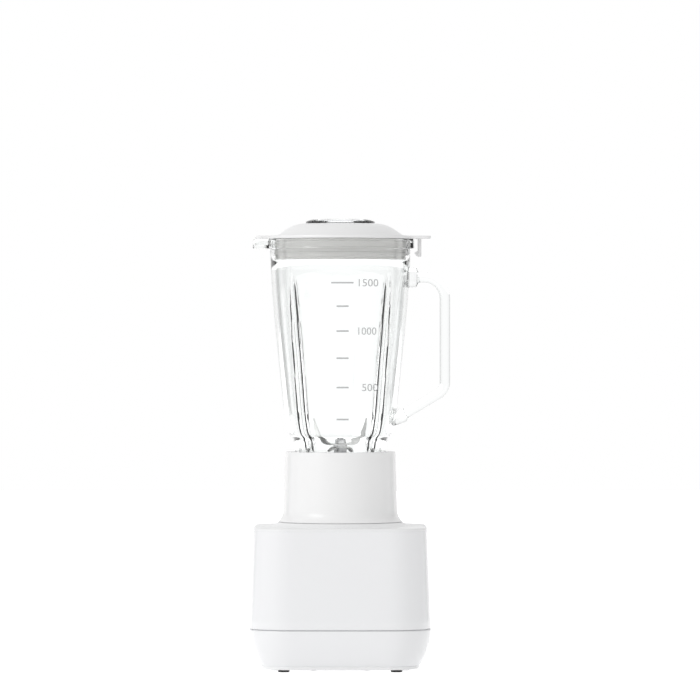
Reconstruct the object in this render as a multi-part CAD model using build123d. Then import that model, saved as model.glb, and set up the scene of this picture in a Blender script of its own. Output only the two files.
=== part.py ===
from build123d import *
import math
import os

# Countertop blender in millimetres, +Z up. +X points to the jug's handle and -Y
# to the front. The origin is the centre of the plane that the four feet stand on.

# --- clearances -----------------------------------------------------------------
RUNNING_FIT = 0.05      # radial, shafts in bushes and bearings
LOOSE_FIT = 0.3         # between pieces that lift apart
SEAT_GAP = 0.15         # between shells that are screwed together
THREAD_FIT = 0.45       # jug neck in the blade unit's cup
GASKET_FIT = 0.45       # lid gasket in the jug's mouth

# --- base casing ----------------------------------------------------------------
FOOT_HEIGHT = 3.0
FOOT_RADIUS = 5.5
FOOT_INSET = 22.0       # each foot's centre from the cover's sides
FOOT_STEM_RADIUS = 2.5
NUB_OFFSET = 25.0       # the two small nubs between the feet
NUB_RADIUS = 2.5
NUB_HEIGHT = 1.6
COVER_THICKNESS = 3.0
COVER_STEP = 0.4        # cover's edge inside the skirt's foot
SEAM_HALF = 86.0        # half widths are over the middles of the bowed sides
SKIRT_HEIGHT = 34.0
SKIRT_TUCK = 10.6       # how far the skirt curves in at its foot
SEAM_GAP = 0.9
HOUSING_HEIGHT = 92.0
HOUSING_DRAFT = 3.8     # how much narrower the housing's top is, each side
CASING_WALL = 2.6
PLAN_CORNER = 40.0
PLAN_BOW = 1.6
LIP_HEIGHT = 4.0        # inner lips that locate one shell in the next
LIP_THICKNESS = 1.6
BOSS_INSET = 25.0       # screw bosses in the skirt's corners, from the seam's sides
BOSS_RADIUS = 4.5
BOSS_HEIGHT = 20.0
CORNER_WEB = 30.0
SCREW_GRIP = 14.0
VENT_REACH = 32.0
VENT_WIDTH = 3.0
VENT_PITCH = 7.0
VENT_SLOTS = 4          # each side of the middle slot

# --- deck on top of the base ----------------------------------------------------
DECK_THICKNESS = 2.6
DECK_EDGE = 1.6         # rounding of the deck's edge
PLATFORM_HEIGHT = 3.7   # above the deck plate
PLATFORM_EDGE = 0.5     # platform's top beyond the collar's foot
PLATFORM_SPREAD = 5.5   # platform's foot beyond its top
POST_HEIGHT = 14.0
POST_TURN = -3.2        # degrees, all four posts about the axis
POST_CLEARANCE = 1.0    # inside the collar's wall
POST_DEPTH = 17.8
POST_WIDTH = 31.0
POST_CAP_THICKNESS = 3.5
POST_CAP_OVERHANG = 1.2
POST_PANEL_DEPTH = 1.5
POST_PANEL_MARGIN = 2.5 # round the sunk panels
FIN_WIDTH = 6.4
FIN_HEIGHT = 18.4
FIN_LAP = 0.6           # how far the fin runs into the front post
FIN_DEPTH = 8.0
FIN_ROUNDING = 1.5
WELL_GAP = 3.0          # round the coupler's skirt
WELL_DEPTH = 2.5
HUB_RADIUS = 15.0       # collar round the motor shaft, under the coupler
HUB_SPREAD = 4.5
HUB_SPREAD_HEIGHT = 4.0
HUB_CLEARANCE = 2.0     # hub's top under the coupler's skirt
SHAFT_PASSAGE = 2.0     # round the shaft, through the deck
SPLASH_SEAL_WIDTH = 5.0
SPLASH_SEAL_HEIGHT = 4.0

# --- drive ----------------------------------------------------------------------
SHAFT_RADIUS = 4.0
COUPLER_SPREAD = 5.5    # skirt beyond the band
COUPLER_BAND = 1.3      # band beyond the dogs
COUPLER_CLEARANCE = 10.2    # skirt above the platform
COUPLER_SKIRT_HEIGHT = 6.0
COUPLER_CONE_HEIGHT = 7.5
COUPLER_DOG_HEIGHT = 8.2
COUPLER_DOG_RADIUS = 16.2
COUPLER_DOG_TAPER = 1.8
COUPLER_SLOT = 6.4
COUPLER_WALL = 2.6
COUPLER_HUB_WALL = 3.5
DOG_COUNT = 4

# --- motor ----------------------------------------------------------------------
STATOR_SIDE = 22.0          # stator's sides beyond the armature
STATOR_YOKE = 15.0          # stator's front and back beyond the armature
STATOR_CORNER = 12.0
STACK_HEIGHT = 36.0
STACK_BOTTOM = 68.0         # above the feet
ARMATURE_RADIUS = 22.0
AIR_GAP = 0.6
ARMATURE_SLOTS = 12
SLOT_WIDTH = 3.0
SLOT_DEPTH = 4.5
WEDGE_DEPTH = 1.6           # the slots' empty mouths
WINDING_HEIGHT = 7.0
WINDING_INSET = 3.0         # end turns inside the armature's radius
FIELD_COIL_HEIGHT = 9.0
FIELD_COIL_GAP = 2.5        # field coil ends outside the armature's radius
FIELD_COIL_WIDTH = 10.5
COMMUTATOR_WALL = 8.5
COMMUTATOR_HEIGHT = 15.0
COMMUTATOR_BARS = 24
BRUSH_WIDTH = 6.0
BRUSH_HEIGHT = 9.0
BRUSH_LENGTH = 18.0
HOLDER_WALL = 1.6
BRUSH_LEVEL = 51.5
BEARING_WIDTH = 7.0         # from the shaft to the outside
BEARING_HEIGHT = 7.0
BRACKET_THICKNESS = 5.0
BRACKET_WIDTH = 26.0
BRACKET_INSET = 1.0         # ends of the bridges inside the stator's sides
BRACKET_LEG = 6.5
BRACKET_PROUD = 3.0         # upper bracket in front of and behind the stator
FAN_RADIUS = 36.0
FAN_HEIGHT = 11.0
FAN_BLADES = 9
FAN_PLATE = 2.0
SHAFT_BELOW_FAN = 2.5
COIL_LEG_OFFSET = 8.5       # legs' middles beyond the armature
COIL_LEG_WIDTH = 6.5
COIL_LEG_DEPTH = 11.0
COIL_GAP = 2.5
WINDOW_WIDTH = 10.0
POLE_SHOE = 4.0
COLUMN = 8.0                # iron left round the stator's windows
MOUNT_INSET = 7.0           # rubber mounts from the upper bracket's front
MOUNT_RADIUS = 6.0
MOUNT_HEIGHT = 5.0
MOTOR_SCREW_GRIP = 7.5
SCREW_RADIUS = 2.0
SCREW_HEAD_RADIUS = 3.8
SCREW_HEAD_HEIGHT = 2.6

# --- speed dial on the right side --------------------------------------------------
DIAL_HEIGHT = 88.0          # centre above the feet
DIAL_RADIUS = 20.0
DIAL_DISC = 4.0
DIAL_GRIP_WIDTH = 8.0
DIAL_GRIP_HEIGHT = 5.0
RECESS_GAP = 2.2
RECESS_WALL = 1.8
RECESS_SINK = 1.2           # dial face below the side wall
SPINDLE_RADIUS = 3.0
SWITCH_WIDTH = 26.0
SWITCH_CLEARANCE = 8.6      # behind the switch, for its terminals
SWITCH_TAB_PITCH = 8.0
SWITCH_TAB_REACH = 6.2
SWITCH_TAB_WIDTH = 4.8
SWITCH_TAB_THICKNESS = 0.8
SWITCH_COLLAR = 3.0         # neck's wall round the spindle
SWITCH_NECK = 4.0
POINTER_WIDTH = 2.0

# --- cord entry, terminals -------------------------------------------------------
INLET_HEIGHT = 22.0
INLET_RADIUS = 6.5
INLET_BORE = 3.6
INLET_LENGTH = 16.0
TERMINAL_LENGTH = 30.0
TERMINAL_WIDTH = 12.0
TERMINAL_HEIGHT = 13.0
TERMINAL_PLACE = 56.0       # behind the fan
TERMINAL_PITCH = 9.0
TERMINAL_HOLE = 2.2
TERMINAL_HOLE_DEPTH = 4.0

# --- blade unit ------------------------------------------------------------------
COLLAR_HEIGHT = 66.5
COLLAR_SPACE = 9.1          # collar's top beyond the cup
COLLAR_DRAFT = 1.9          # waist beyond the top
COLLAR_FOOT_SPREAD = 4.8    # foot beyond the waist
COLLAR_FLARE = 10.7
COLLAR_WALL = 2.4
CUP_WALL = 2.8
CUP_FLOOR = 3.0
TOWER_WALL = 2.5            # round the sleeve at the tower's top
TOWER_SPREAD = 5.5          # tower's foot beyond its top
TOWER_SINK = 1.5            # tower top below the collar's top
LOWER_BLADE_RISE = 4.1      # lower blade above the bearing sleeve
SEAL_THICKNESS = 2.0
SEAL_WIDTH = 5.5
RIB_COUNT = 4
RIB_THICKNESS = 2.2
SLEEVE_WALL = 1.4
BUSH_WALL = 2.1
BUSH_HEIGHT = 9.0
BLADE_SHAFT_RADIUS = 3.5
BLADE_STUD_RADIUS = 3.0
SHAFT_FLANGE = 2.5
SHAFT_SEAL_HEIGHT = 2.5
SLEEVE_PROUD = 1.0
LOWER_BLADE_LENGTH = 34.0
LOWER_BLADE_WIDTH = 11.0
LOWER_BLADE_DROOP = 2.6
LOWER_BLADE_TURN = 42.0
UPPER_BLADE_SPAN = 57.0
UPPER_BLADE_RISE = 24.9
UPPER_BLADE_WIDTH = 13.0
UPPER_BLADE_TURN = 27.0
UPPER_BLADE_TIP = 1.8       # width at the tips
BLADE_THICKNESS = 1.4
BLADE_HUB_RADIUS = 8.0
WASHER_HEIGHT = 1.4
WASHER_RADIUS = 6.5
NUT_FLATS = 9.5
NUT_HEIGHT = 4.2
SOCKET_MARGIN = 2.2         # socket inside the dogs
SOCKET_PLATE = 5.0
SOCKET_TOOTH_CLEARANCE = 0.8

# --- jug --------------------------------------------------------------------------
JUG_HEIGHT = 225.0
JUG_WALL = 4.0
NECK_RADIUS = 42.75
NECK_HEIGHT = 23.4
NECK_RIDGES = 3
NECK_RIDGE_DEPTH = 0.8
SHOULDER = [(11.4, 1.95), (19.4, 7.05), (36.1, 10.45)]  # (above, beyond) the neck
SIDE_SHAPE = [(0.188, 0.239), (0.505, 0.627), (0.792, 0.903)]   # of (rise, spread) to the mouth
MOUTH_WALL = 3.15
RIM_LIP = 1.0
RIM_HEIGHT = 9.5
CATCH_PROUD = 2.7
CATCH_HALF_WIDTH = 12.0
SPOUT_OVERHANG = 15.4       # spout's tip beyond the rim
SPOUT_ROOT_WIDTH = 30.0
SPOUT_TIP_WIDTH = 12.0
SPOUT_WALL = 3.0
SPOUT_HEIGHT = 9.0
FLUTE_COUNT = 4
FLUTE_BOTTOM = 27.0
FLUTE_DROP = 35.5           # flutes' tips below the rim
FLUTE_RADIUS = 4.2
FLUTE_SINK = 1.0
HANDLE_REACH = 36.6         # outer face of the grip beyond the rim
HANDLE_THICKNESS = 9.8
HANDLE_WIDTH = 18.0
HANDLE_DROP = 36.4          # centre of the upper arm below the rim
HANDLE_ELBOW = 81.9         # where the grip turns into the slanted lower arm
HANDLE_FOOT = 53.9          # where the lower arm meets the wall
HANDLE_CORNER = 20.0
HANDLE_ELBOW_RADIUS = 12.0
HANDLE_ROUNDING = 4.2
HANDLE_BOSS = 4.9           # outer end of the upper boss beyond the rim
HANDLE_BOSS_HEIGHT = 19.0
HANDLE_FOOT_BOSS = 11.0
HANDLE_BOSS_EXTRA = 4.0     # bosses wider than the handle
MARK_THICKNESS = 0.25
MARK_HEIGHT = 1.6
MARK_LEFT = -3.5
MARK_SHORT = 11.5
MARK_LONG = 21.2
MARK_LONG_PLACE = 2.0
MARK_DROP = 42.8            # full mark below the rim
MARK_SHARES = [0.295, 0.46, 0.611, 0.751, 0.879]    # of the full mark's height

# --- lid and measuring cap ----------------------------------------------------------
BRIM_THICKNESS = 3.0
LID_WALL = 2.4
GASKET_THICKNESS = 3.0      # gasket beyond the plug
DOME_LEDGE = 4.1            # dome's flat top beyond the cap's flange
DOME_HEIGHT = 11.4
PLUG_DEPTH = 19.5
TAB_LEFT_REACH = 13.4       # beyond the brim
TAB_RIGHT_REACH = 18.4
TAB_WIDTH = 26.0
HOOK_LENGTH = 17.0
HOOK_THICKNESS = 3.4
HOOK_GAP = 3.3              # hook's inside face from the catch
HOOK_BARB_GAP = 0.5
HOOK_WIDTH = 14.0
GASKET_RADIUS = 63.0
GASKET_HEIGHT = 20.5
GASKET_RIBS = 4
GASKET_GROOVE = 0.9
FILLER_WALL = 2.0
FILLER_DEPTH = 16.0
CAP_FLANGE_REACH = 8.9      # beyond the body
CAP_FLANGE = 2.0
CAP_CREST = 4.0
CAP_BODY_RADIUS = 24.0
CAP_DEPTH = 20.0
CAP_WALL = 1.8
CAP_BOWL = 13.4
CAP_BOWL_INSET = 2.5        # bowl's edge inside the body
LUG_WIDTH = 8.0
LUG_HEIGHT = 6.0
LUG_REACH = 1.5
CAP_SLOT = 2.6
CAP_SLOT_ANGLE = 37.0

# --- radii and places worked out from the sizes above --------------------------------
COVER_HALF = SEAM_HALF - SKIRT_TUCK - COVER_STEP
HOUSING_TOP_HALF = SEAM_HALF - HOUSING_DRAFT
FOOT_OFFSET = COVER_HALF - FOOT_INSET
BOSS_OFFSET = SEAM_HALF - BOSS_INSET
CUP_RADIUS = NECK_RADIUS + THREAD_FIT
COLLAR_TOP_RADIUS = CUP_RADIUS + COLLAR_SPACE
COLLAR_WAIST_RADIUS = COLLAR_TOP_RADIUS + COLLAR_DRAFT
COLLAR_FOOT_RADIUS = COLLAR_WAIST_RADIUS + COLLAR_FOOT_SPREAD
PLATFORM_TOP_RADIUS = COLLAR_FOOT_RADIUS + PLATFORM_EDGE
PLATFORM_BASE_RADIUS = PLATFORM_TOP_RADIUS + PLATFORM_SPREAD
POST_OUTER = COLLAR_WAIST_RADIUS - COLLAR_WALL - POST_CLEARANCE
POST_INNER = POST_OUTER - POST_DEPTH
COUPLER_BAND_RADIUS = COUPLER_DOG_RADIUS + COUPLER_BAND
COUPLER_SKIRT_RADIUS = COUPLER_BAND_RADIUS + COUPLER_SPREAD
COUPLER_HUB_RADIUS = SHAFT_RADIUS + COUPLER_HUB_WALL
WELL_RADIUS = COUPLER_SKIRT_RADIUS + WELL_GAP
SPLASH_SEAL_RADIUS = SHAFT_RADIUS + SPLASH_SEAL_WIDTH
STATOR_HALF_X = ARMATURE_RADIUS + STATOR_SIDE
STATOR_HALF_Y = ARMATURE_RADIUS + STATOR_YOKE
WINDING_RADIUS = ARMATURE_RADIUS - WINDING_INSET
FIELD_COIL_INNER = ARMATURE_RADIUS + FIELD_COIL_GAP
FIELD_COIL_OUTER = FIELD_COIL_INNER + FIELD_COIL_WIDTH
COIL_LEG_X = ARMATURE_RADIUS + COIL_LEG_OFFSET
BRACKET_REACH = STATOR_HALF_X - BRACKET_INSET
BRACKET_PLATE_HALF = STATOR_HALF_Y + BRACKET_PROUD
MOUNT_OFFSET = BRACKET_PLATE_HALF - MOUNT_INSET
BEARING_RADIUS = SHAFT_RADIUS + BEARING_WIDTH
COMMUTATOR_RADIUS = SHAFT_RADIUS + COMMUTATOR_WALL
BUSH_RADIUS = BLADE_SHAFT_RADIUS + BUSH_WALL
SLEEVE_RADIUS = BUSH_RADIUS + SLEEVE_WALL
TOWER_TOP_RADIUS = SLEEVE_RADIUS + TOWER_WALL
TOWER_BASE_RADIUS = TOWER_TOP_RADIUS + TOWER_SPREAD
SHAFT_FLANGE_RADIUS = BLADE_SHAFT_RADIUS + SHAFT_FLANGE
SOCKET_RADIUS = COUPLER_DOG_RADIUS - SOCKET_MARGIN
MOUTH_BORE = GASKET_RADIUS + GASKET_FIT
MOUTH_RADIUS = MOUTH_BORE + MOUTH_WALL
RIM_RADIUS = MOUTH_RADIUS + RIM_LIP
CATCH_RADIUS = RIM_RADIUS + CATCH_PROUD
SPOUT_REACH = RIM_RADIUS + SPOUT_OVERHANG
HANDLE_OUT = RIM_RADIUS + HANDLE_REACH
HANDLE_TOP = JUG_HEIGHT - HANDLE_DROP
HANDLE_BOSS_END = RIM_RADIUS + HANDLE_BOSS
FLUTE_TOP = JUG_HEIGHT - FLUTE_DROP
MARK_FULL = JUG_HEIGHT - MARK_DROP
DOME_BASE_RADIUS = GASKET_RADIUS - GASKET_THICKNESS
HOOK_INNER = CATCH_RADIUS + HOOK_GAP
HOOK_OUTER = HOOK_INNER + HOOK_THICKNESS
HOOK_BARB = CATCH_RADIUS + HOOK_BARB_GAP
CAP_FLANGE_RADIUS = CAP_BODY_RADIUS + CAP_FLANGE_REACH
CAP_BOWL_RADIUS = CAP_BODY_RADIUS - CAP_BOWL_INSET
DOME_TOP_RADIUS = CAP_FLANGE_RADIUS + DOME_LEDGE

# --- levels worked out from the sizes above ---------------------------------------
COVER_TOP = FOOT_HEIGHT + COVER_THICKNESS
SEAM_LOW = COVER_TOP + SKIRT_HEIGHT
SEAM_HIGH = SEAM_LOW + SEAM_GAP
HOUSING_TOP = SEAM_HIGH + HOUSING_HEIGHT
DECK_TOP = HOUSING_TOP + DECK_THICKNESS
PLATFORM_TOP = DECK_TOP + PLATFORM_HEIGHT
POST_TOP = PLATFORM_TOP + POST_HEIGHT
SKIRT_LOW = PLATFORM_TOP + COUPLER_CLEARANCE
CONE_LOW = SKIRT_LOW + COUPLER_SKIRT_HEIGHT
DOG_LOW = CONE_LOW + COUPLER_CONE_HEIGHT
DOG_TOP = DOG_LOW + COUPLER_DOG_HEIGHT
COLLAR_BOTTOM = PLATFORM_TOP + LOOSE_FIT
COLLAR_TOP = COLLAR_BOTTOM + COLLAR_HEIGHT
JUG_BOTTOM = COLLAR_TOP - NECK_HEIGHT
SEAL_BOTTOM = JUG_BOTTOM - SEAL_THICKNESS
FLOOR_BOTTOM = SEAL_BOTTOM - CUP_FLOOR
TOWER_TOP = COLLAR_TOP - TOWER_SINK
SLEEVE_TOP = TOWER_TOP + SLEEVE_PROUD
SLEEVE_BOTTOM = FLOOR_BOTTOM + LOOSE_FIT
LOWER_BLADE_Z = SLEEVE_TOP + LOWER_BLADE_RISE
UPPER_BLADE_Z = LOWER_BLADE_Z + BLADE_THICKNESS + WASHER_HEIGHT
NUT_BOTTOM = UPPER_BLADE_Z + BLADE_THICKNESS
SOCKET_BOTTOM = DOG_TOP + 0.6
RIM_TOP = JUG_BOTTOM + JUG_HEIGHT
BRIM_BOTTOM = RIM_TOP + LOOSE_FIT
BRIM_TOP = BRIM_BOTTOM + BRIM_THICKNESS
DOME_TOP = BRIM_TOP + DOME_HEIGHT
FILLER_RADIUS = CAP_BODY_RADIUS + LUG_REACH + LOOSE_FIT
CAP_BOTTOM = DOME_TOP + LOOSE_FIT
STACK_TOP = STACK_BOTTOM + STACK_HEIGHT
UPPER_BRACKET_Z = STACK_TOP + FIELD_COIL_HEIGHT + 1.0
COMMUTATOR_TOP = STACK_BOTTOM - WINDING_HEIGHT - 1.0
LOWER_BEARING_Z = COMMUTATOR_TOP - COMMUTATOR_HEIGHT - 3.0 - BEARING_HEIGHT
UPPER_BEARING_Z = UPPER_BRACKET_Z + BRACKET_THICKNESS - BEARING_HEIGHT
LOWER_BRACKET_Z = LOWER_BEARING_Z + BEARING_HEIGHT - BRACKET_THICKNESS
FAN_TOP = LOWER_BEARING_Z - 4.0
FAN_BOTTOM = FAN_TOP - FAN_HEIGHT
SPLASH_SEAL_Z = HOUSING_TOP - 2.0
COUPLER_SEAT = DOG_LOW - 1.0
DIAL_RIM_LEVEL = DIAL_HEIGHT + DIAL_RADIUS
DIAL_WALL_X = SEAM_HALF + (HOUSING_TOP_HALF - SEAM_HALF) * (
    (DIAL_RIM_LEVEL - SEAM_HIGH) / HOUSING_HEIGHT
)
KNOB_FACE = DIAL_WALL_X - RECESS_SINK
KNOB_BACK = KNOB_FACE - DIAL_DISC - DIAL_GRIP_HEIGHT
RECESS_FLOOR = KNOB_BACK - 2 * LOOSE_FIT
RECESS_RADIUS = DIAL_RADIUS + RECESS_GAP + RECESS_WALL
SWITCH_FACE = RECESS_FLOOR - RECESS_WALL - SWITCH_NECK
SWITCH_DEPTH = SWITCH_FACE - STATOR_HALF_X - SWITCH_CLEARANCE


BASE = (Align.CENTER, Align.CENTER, Align.MIN)


def ring(outer, inner, bottom, height):
    """Plain ring or, with no inner radius, a disc."""
    body = Pos(0, 0, bottom) * Cylinder(outer, height, align=BASE)
    if inner:
        body -= Pos(0, 0, bottom - 1) * Cylinder(inner, height + 2, align=BASE)
    return body


def block(x_size, y_size, bottom, height, x=0.0, y=0.0):
    """Box standing on a level, centred on x, y."""
    return Pos(x, y, bottom) * Box(x_size, y_size, height, align=BASE)


def revolved(edges):
    """Solid of revolution about Z of a closed outline in the XZ plane."""
    return revolve(Plane.XZ * make_face(edges), Axis.Z)


def turned(points):
    """Solid of revolution of a polygon of (radius, height) points."""
    return revolved([Polyline(*points, points[0])])


def four_corners(offset):
    """The four places at the same distance from both mid planes."""
    return [(sx * offset, sy * offset) for sx in (-1, 1) for sy in (-1, 1)]


def group(solids):
    """Several equal solids as one node."""
    return Compound(children=list(solids))


# --- casing shells ------------------------------------------------------------------
def plan_face(half, level):
    """Bowed, round-cornered square of the casing at one level."""
    side = half - PLAN_BOW
    corners = [(side, side), (-side, side), (-side, -side), (side, -side)]
    middles = [(0, half), (-half, 0), (0, -half), (half, 0)]
    edges = [
        ThreePointArc(corners[k], middles[k], corners[(k + 1) % 4]) for k in range(4)
    ]
    face = make_face(edges)
    corner = PLAN_CORNER - (SEAM_HALF - half)
    return Pos(0, 0, level) * fillet(face.vertices(), corner)


def plan_plate(half, bottom, height):
    """Flat plate with the casing's plan."""
    return extrude(plan_face(half, bottom), height)


def skirt_half(level):
    """Half width of the skirt, which curves in towards its foot."""
    part = (SEAM_LOW - level) / SKIRT_HEIGHT
    return SEAM_HALF - SKIRT_TUCK * part * part


def housing_half(level):
    """Half width of the housing, which narrows evenly towards the top."""
    part = (level - SEAM_HIGH) / HOUSING_HEIGHT
    return SEAM_HALF + (HOUSING_TOP_HALF - SEAM_HALF) * part


def skirt_body(inset):
    """The skirt's curved volume, inset from its outside."""
    levels = [COVER_TOP + SKIRT_HEIGHT * k / 4 for k in range(5)]
    return loft([plan_face(skirt_half(level) - inset, level) for level in levels])


def base_skirt():
    """Lower ring of the casing, with the lip that the housing fits over."""
    lip_outer = SEAM_HALF - CASING_WALL - SEAT_GAP
    lip_inner = lip_outer - LIP_THICKNESS
    lip = plan_plate(SEAM_HALF - CASING_WALL / 2, SEAM_LOW - LIP_HEIGHT, LIP_HEIGHT)
    lip += plan_plate(lip_outer, SEAM_LOW, LIP_HEIGHT)
    lip -= plan_plate(lip_inner, SEAM_LOW - LIP_HEIGHT, 2 * LIP_HEIGHT)
    body = skirt_body(0) - skirt_body(CASING_WALL) + lip
    bosses = Part() + [
        Pos(x, y, COVER_TOP) * Cylinder(BOSS_RADIUS, BOSS_HEIGHT, align=BASE)
        + Pos(x * 1.1, y * 1.1, COVER_TOP)
        * Rot(0, 0, math.degrees(math.atan2(y, x)))
        * Box(CORNER_WEB, LIP_THICKNESS, BOSS_HEIGHT, align=BASE)
        for x, y in four_corners(BOSS_OFFSET)
    ]
    body += bosses & skirt_body(CASING_WALL / 2)
    for x, y in four_corners(BOSS_OFFSET):
        body -= Pos(x, y, COVER_TOP) * Cylinder(
            SCREW_RADIUS + RUNNING_FIT, SCREW_GRIP, align=BASE
        )
    entry = Pos(0, SEAM_HALF, INLET_HEIGHT) * Rot(90, 0, 0)
    return body - entry * Cylinder(INLET_RADIUS, INLET_LENGTH * 2)


def housing_body(inset):
    """The housing's tapered volume, inset from its outside."""
    levels = (SEAM_HIGH, HOUSING_TOP)
    faces = [plan_face(housing_half(level) - inset, level) for level in levels]
    return loft(faces, ruled=True)


def dial_place(x):
    """Location on the dial's axis, turned so that local Z points out along +X."""
    return Pos(x, 0, DIAL_HEIGHT) * Rot(0, 90, 0)


def base_housing():
    """Upper casing shell with the round recess for the speed dial."""
    shell = housing_body(0) - housing_body(CASING_WALL)
    hole = Cylinder(RECESS_RADIUS + RUNNING_FIT, SEAM_HALF - RECESS_FLOOR, align=BASE)
    return shell - dial_place(RECESS_FLOOR) * hole


def dial_recess():
    """Round cup behind the dial, set in the housing's side."""
    cup_height = SEAM_HALF - RECESS_FLOOR
    outside = Cylinder(RECESS_RADIUS, cup_height + RECESS_WALL, align=BASE)
    cup = dial_place(RECESS_FLOOR - RECESS_WALL) * outside
    inside = Cylinder(RECESS_RADIUS - RECESS_WALL, 2 * cup_height, align=BASE)
    cup -= dial_place(RECESS_FLOOR) * inside
    cup -= dial_place(RECESS_FLOOR) * Cylinder(SPINDLE_RADIUS + LOOSE_FIT, 4 * RECESS_WALL)
    return cup & housing_body(0)


def speed_knob():
    """Round dial with a bar across its face and a pointer line."""
    body = dial_place(KNOB_BACK) * Cylinder(DIAL_RADIUS, DIAL_DISC, align=BASE)
    body = chamfer(body.edges().filter_by(GeomType.CIRCLE).sort_by(Axis.X)[-1], 0.8)
    grip = Box(2 * DIAL_RADIUS - 3.0, DIAL_GRIP_WIDTH, DIAL_GRIP_HEIGHT, align=BASE)
    grip = fillet(grip.edges().filter_by(Axis.Z), DIAL_GRIP_WIDTH / 2.2)
    body += dial_place(KNOB_BACK + DIAL_DISC) * grip
    groove = Pos(-DIAL_RADIUS * 0.62, 0, 0) * Box(
        DIAL_RADIUS * 0.5, POINTER_WIDTH, 1.0, align=BASE
    )
    body -= dial_place(KNOB_FACE - 0.6) * groove
    bore = Cylinder(SPINDLE_RADIUS, DIAL_DISC, align=BASE)
    return body - dial_place(KNOB_BACK) * bore


def knob_spindle():
    """Shaft from the dial into the rotary switch."""
    length = KNOB_BACK + DIAL_DISC - SWITCH_FACE
    return dial_place(SWITCH_FACE) * Cylinder(SPINDLE_RADIUS, length, align=BASE)


def rotary_switch():
    """Switch body behind the recess, with its terminals."""
    x_middle = SWITCH_FACE - SWITCH_DEPTH / 2
    body = Pos(x_middle, 0, DIAL_HEIGHT) * Box(SWITCH_DEPTH, SWITCH_WIDTH, SWITCH_WIDTH)
    neck_length = RECESS_FLOOR - RECESS_WALL - SWITCH_FACE
    neck = Cylinder(SPINDLE_RADIUS + SWITCH_COLLAR, neck_length, align=BASE)
    body += dial_place(SWITCH_FACE) * neck
    body -= dial_place(SWITCH_FACE) * Cylinder(
        SPINDLE_RADIUS + RUNNING_FIT, neck_length, align=BASE
    )
    for k in (-1, 0, 1):
        tab = Pos(
            SWITCH_FACE - SWITCH_DEPTH - SWITCH_TAB_REACH / 2 + 0.1, k * SWITCH_TAB_PITCH,
            DIAL_HEIGHT - SWITCH_TAB_PITCH,
        )
        body += tab * Box(SWITCH_TAB_REACH, SWITCH_TAB_WIDTH, SWITCH_TAB_THICKNESS)
    return body


def bottom_cover():
    """Flat bottom plate with air slots under the fan and two small nubs."""
    plate = plan_plate(COVER_HALF, FOOT_HEIGHT, COVER_THICKNESS)
    slot = Pos(0, 0, FOOT_HEIGHT) * extrude(SlotOverall(2 * VENT_REACH, VENT_WIDTH), COVER_THICKNESS)
    for k in range(-VENT_SLOTS, VENT_SLOTS + 1):
        plate -= Pos(0, k * VENT_PITCH, 0) * slot
    for x, y in four_corners(FOOT_OFFSET):
        plate -= Pos(x, y, FOOT_HEIGHT) * Cylinder(FOOT_STEM_RADIUS, COVER_THICKNESS, align=BASE)
    for x, y in four_corners(BOSS_OFFSET):
        plate -= Pos(x, y, FOOT_HEIGHT) * Cylinder(
            SCREW_HEAD_RADIUS + LOOSE_FIT, SCREW_HEAD_HEIGHT - 1.0, align=BASE
        )
        plate -= Pos(x, y, FOOT_HEIGHT) * Cylinder(
            SCREW_RADIUS + LOOSE_FIT, COVER_THICKNESS, align=BASE
        )
    for x, y in ((-NUB_OFFSET, -FOOT_OFFSET), (NUB_OFFSET, -FOOT_OFFSET),
                 (-NUB_OFFSET, FOOT_OFFSET), (NUB_OFFSET, FOOT_OFFSET)):
        plate += ring(NUB_RADIUS, 0, FOOT_HEIGHT - NUB_HEIGHT, NUB_HEIGHT).moved(Pos(x, y))
    return plate


def feet():
    """Four rubber feet with stems pressed into the bottom cover."""
    foot = Cylinder(FOOT_RADIUS, FOOT_HEIGHT, align=BASE)
    foot = chamfer(foot.edges().filter_by(GeomType.CIRCLE).sort_by(Axis.Z)[0], 0.5)
    foot += Pos(0, 0, FOOT_HEIGHT) * Cylinder(FOOT_STEM_RADIUS, COVER_THICKNESS, align=BASE)
    return group(Pos(x, y) * foot for x, y in four_corners(FOOT_OFFSET))


def screw(length):
    """Pan-head screw pointing up, with a crossed slot, its head's seat at zero."""
    head = Pos(0, 0, -SCREW_HEAD_HEIGHT) * Cylinder(
        SCREW_HEAD_RADIUS, SCREW_HEAD_HEIGHT, align=BASE
    )
    for turn in (0, 90):
        slot = Box(SCREW_HEAD_RADIUS * 1.2, 0.9, 2.4)
        head -= Pos(0, 0, -SCREW_HEAD_HEIGHT) * Rot(0, 0, turn) * slot
    return head + Cylinder(SCREW_RADIUS, length, align=BASE)


def cover_screws():
    """Four screws that hold the bottom cover to the skirt's bosses."""
    seat = FOOT_HEIGHT + SCREW_HEAD_HEIGHT - 1.0
    body = Pos(0, 0, seat) * screw(COVER_TOP + SCREW_GRIP - 1.0 - seat)
    return group(Pos(x, y) * body for x, y in four_corners(BOSS_OFFSET))


# --- deck ----------------------------------------------------------------------------
def post():
    """Drive post on the +X side: a solid block with sunk panels under a wider cap."""
    middle = (POST_INNER + POST_OUTER) / 2
    depth = POST_OUTER - POST_INNER
    curve = ring(POST_OUTER, POST_INNER, PLATFORM_TOP - 1.0, POST_HEIGHT + 1.0)
    stem = curve & block(
        depth * 2, POST_WIDTH - 2 * POST_CAP_OVERHANG, PLATFORM_TOP - 1.0, POST_HEIGHT + 1.0, middle
    )
    cap = curve & block(
        depth * 2, POST_WIDTH, POST_TOP - POST_CAP_THICKNESS, POST_CAP_THICKNESS, middle
    )
    panel_height = POST_HEIGHT - POST_CAP_THICKNESS - POST_PANEL_MARGIN
    for side in (-1, 1):
        y = side * (POST_WIDTH / 2 - POST_CAP_OVERHANG)
        stem -= block(
            depth - 2 * POST_PANEL_MARGIN, 2 * POST_PANEL_DEPTH,
            PLATFORM_TOP + POST_PANEL_MARGIN / 2, panel_height, middle, y,
        )
    return Rot(0, 0, POST_TURN) * (stem + cap)


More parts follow.
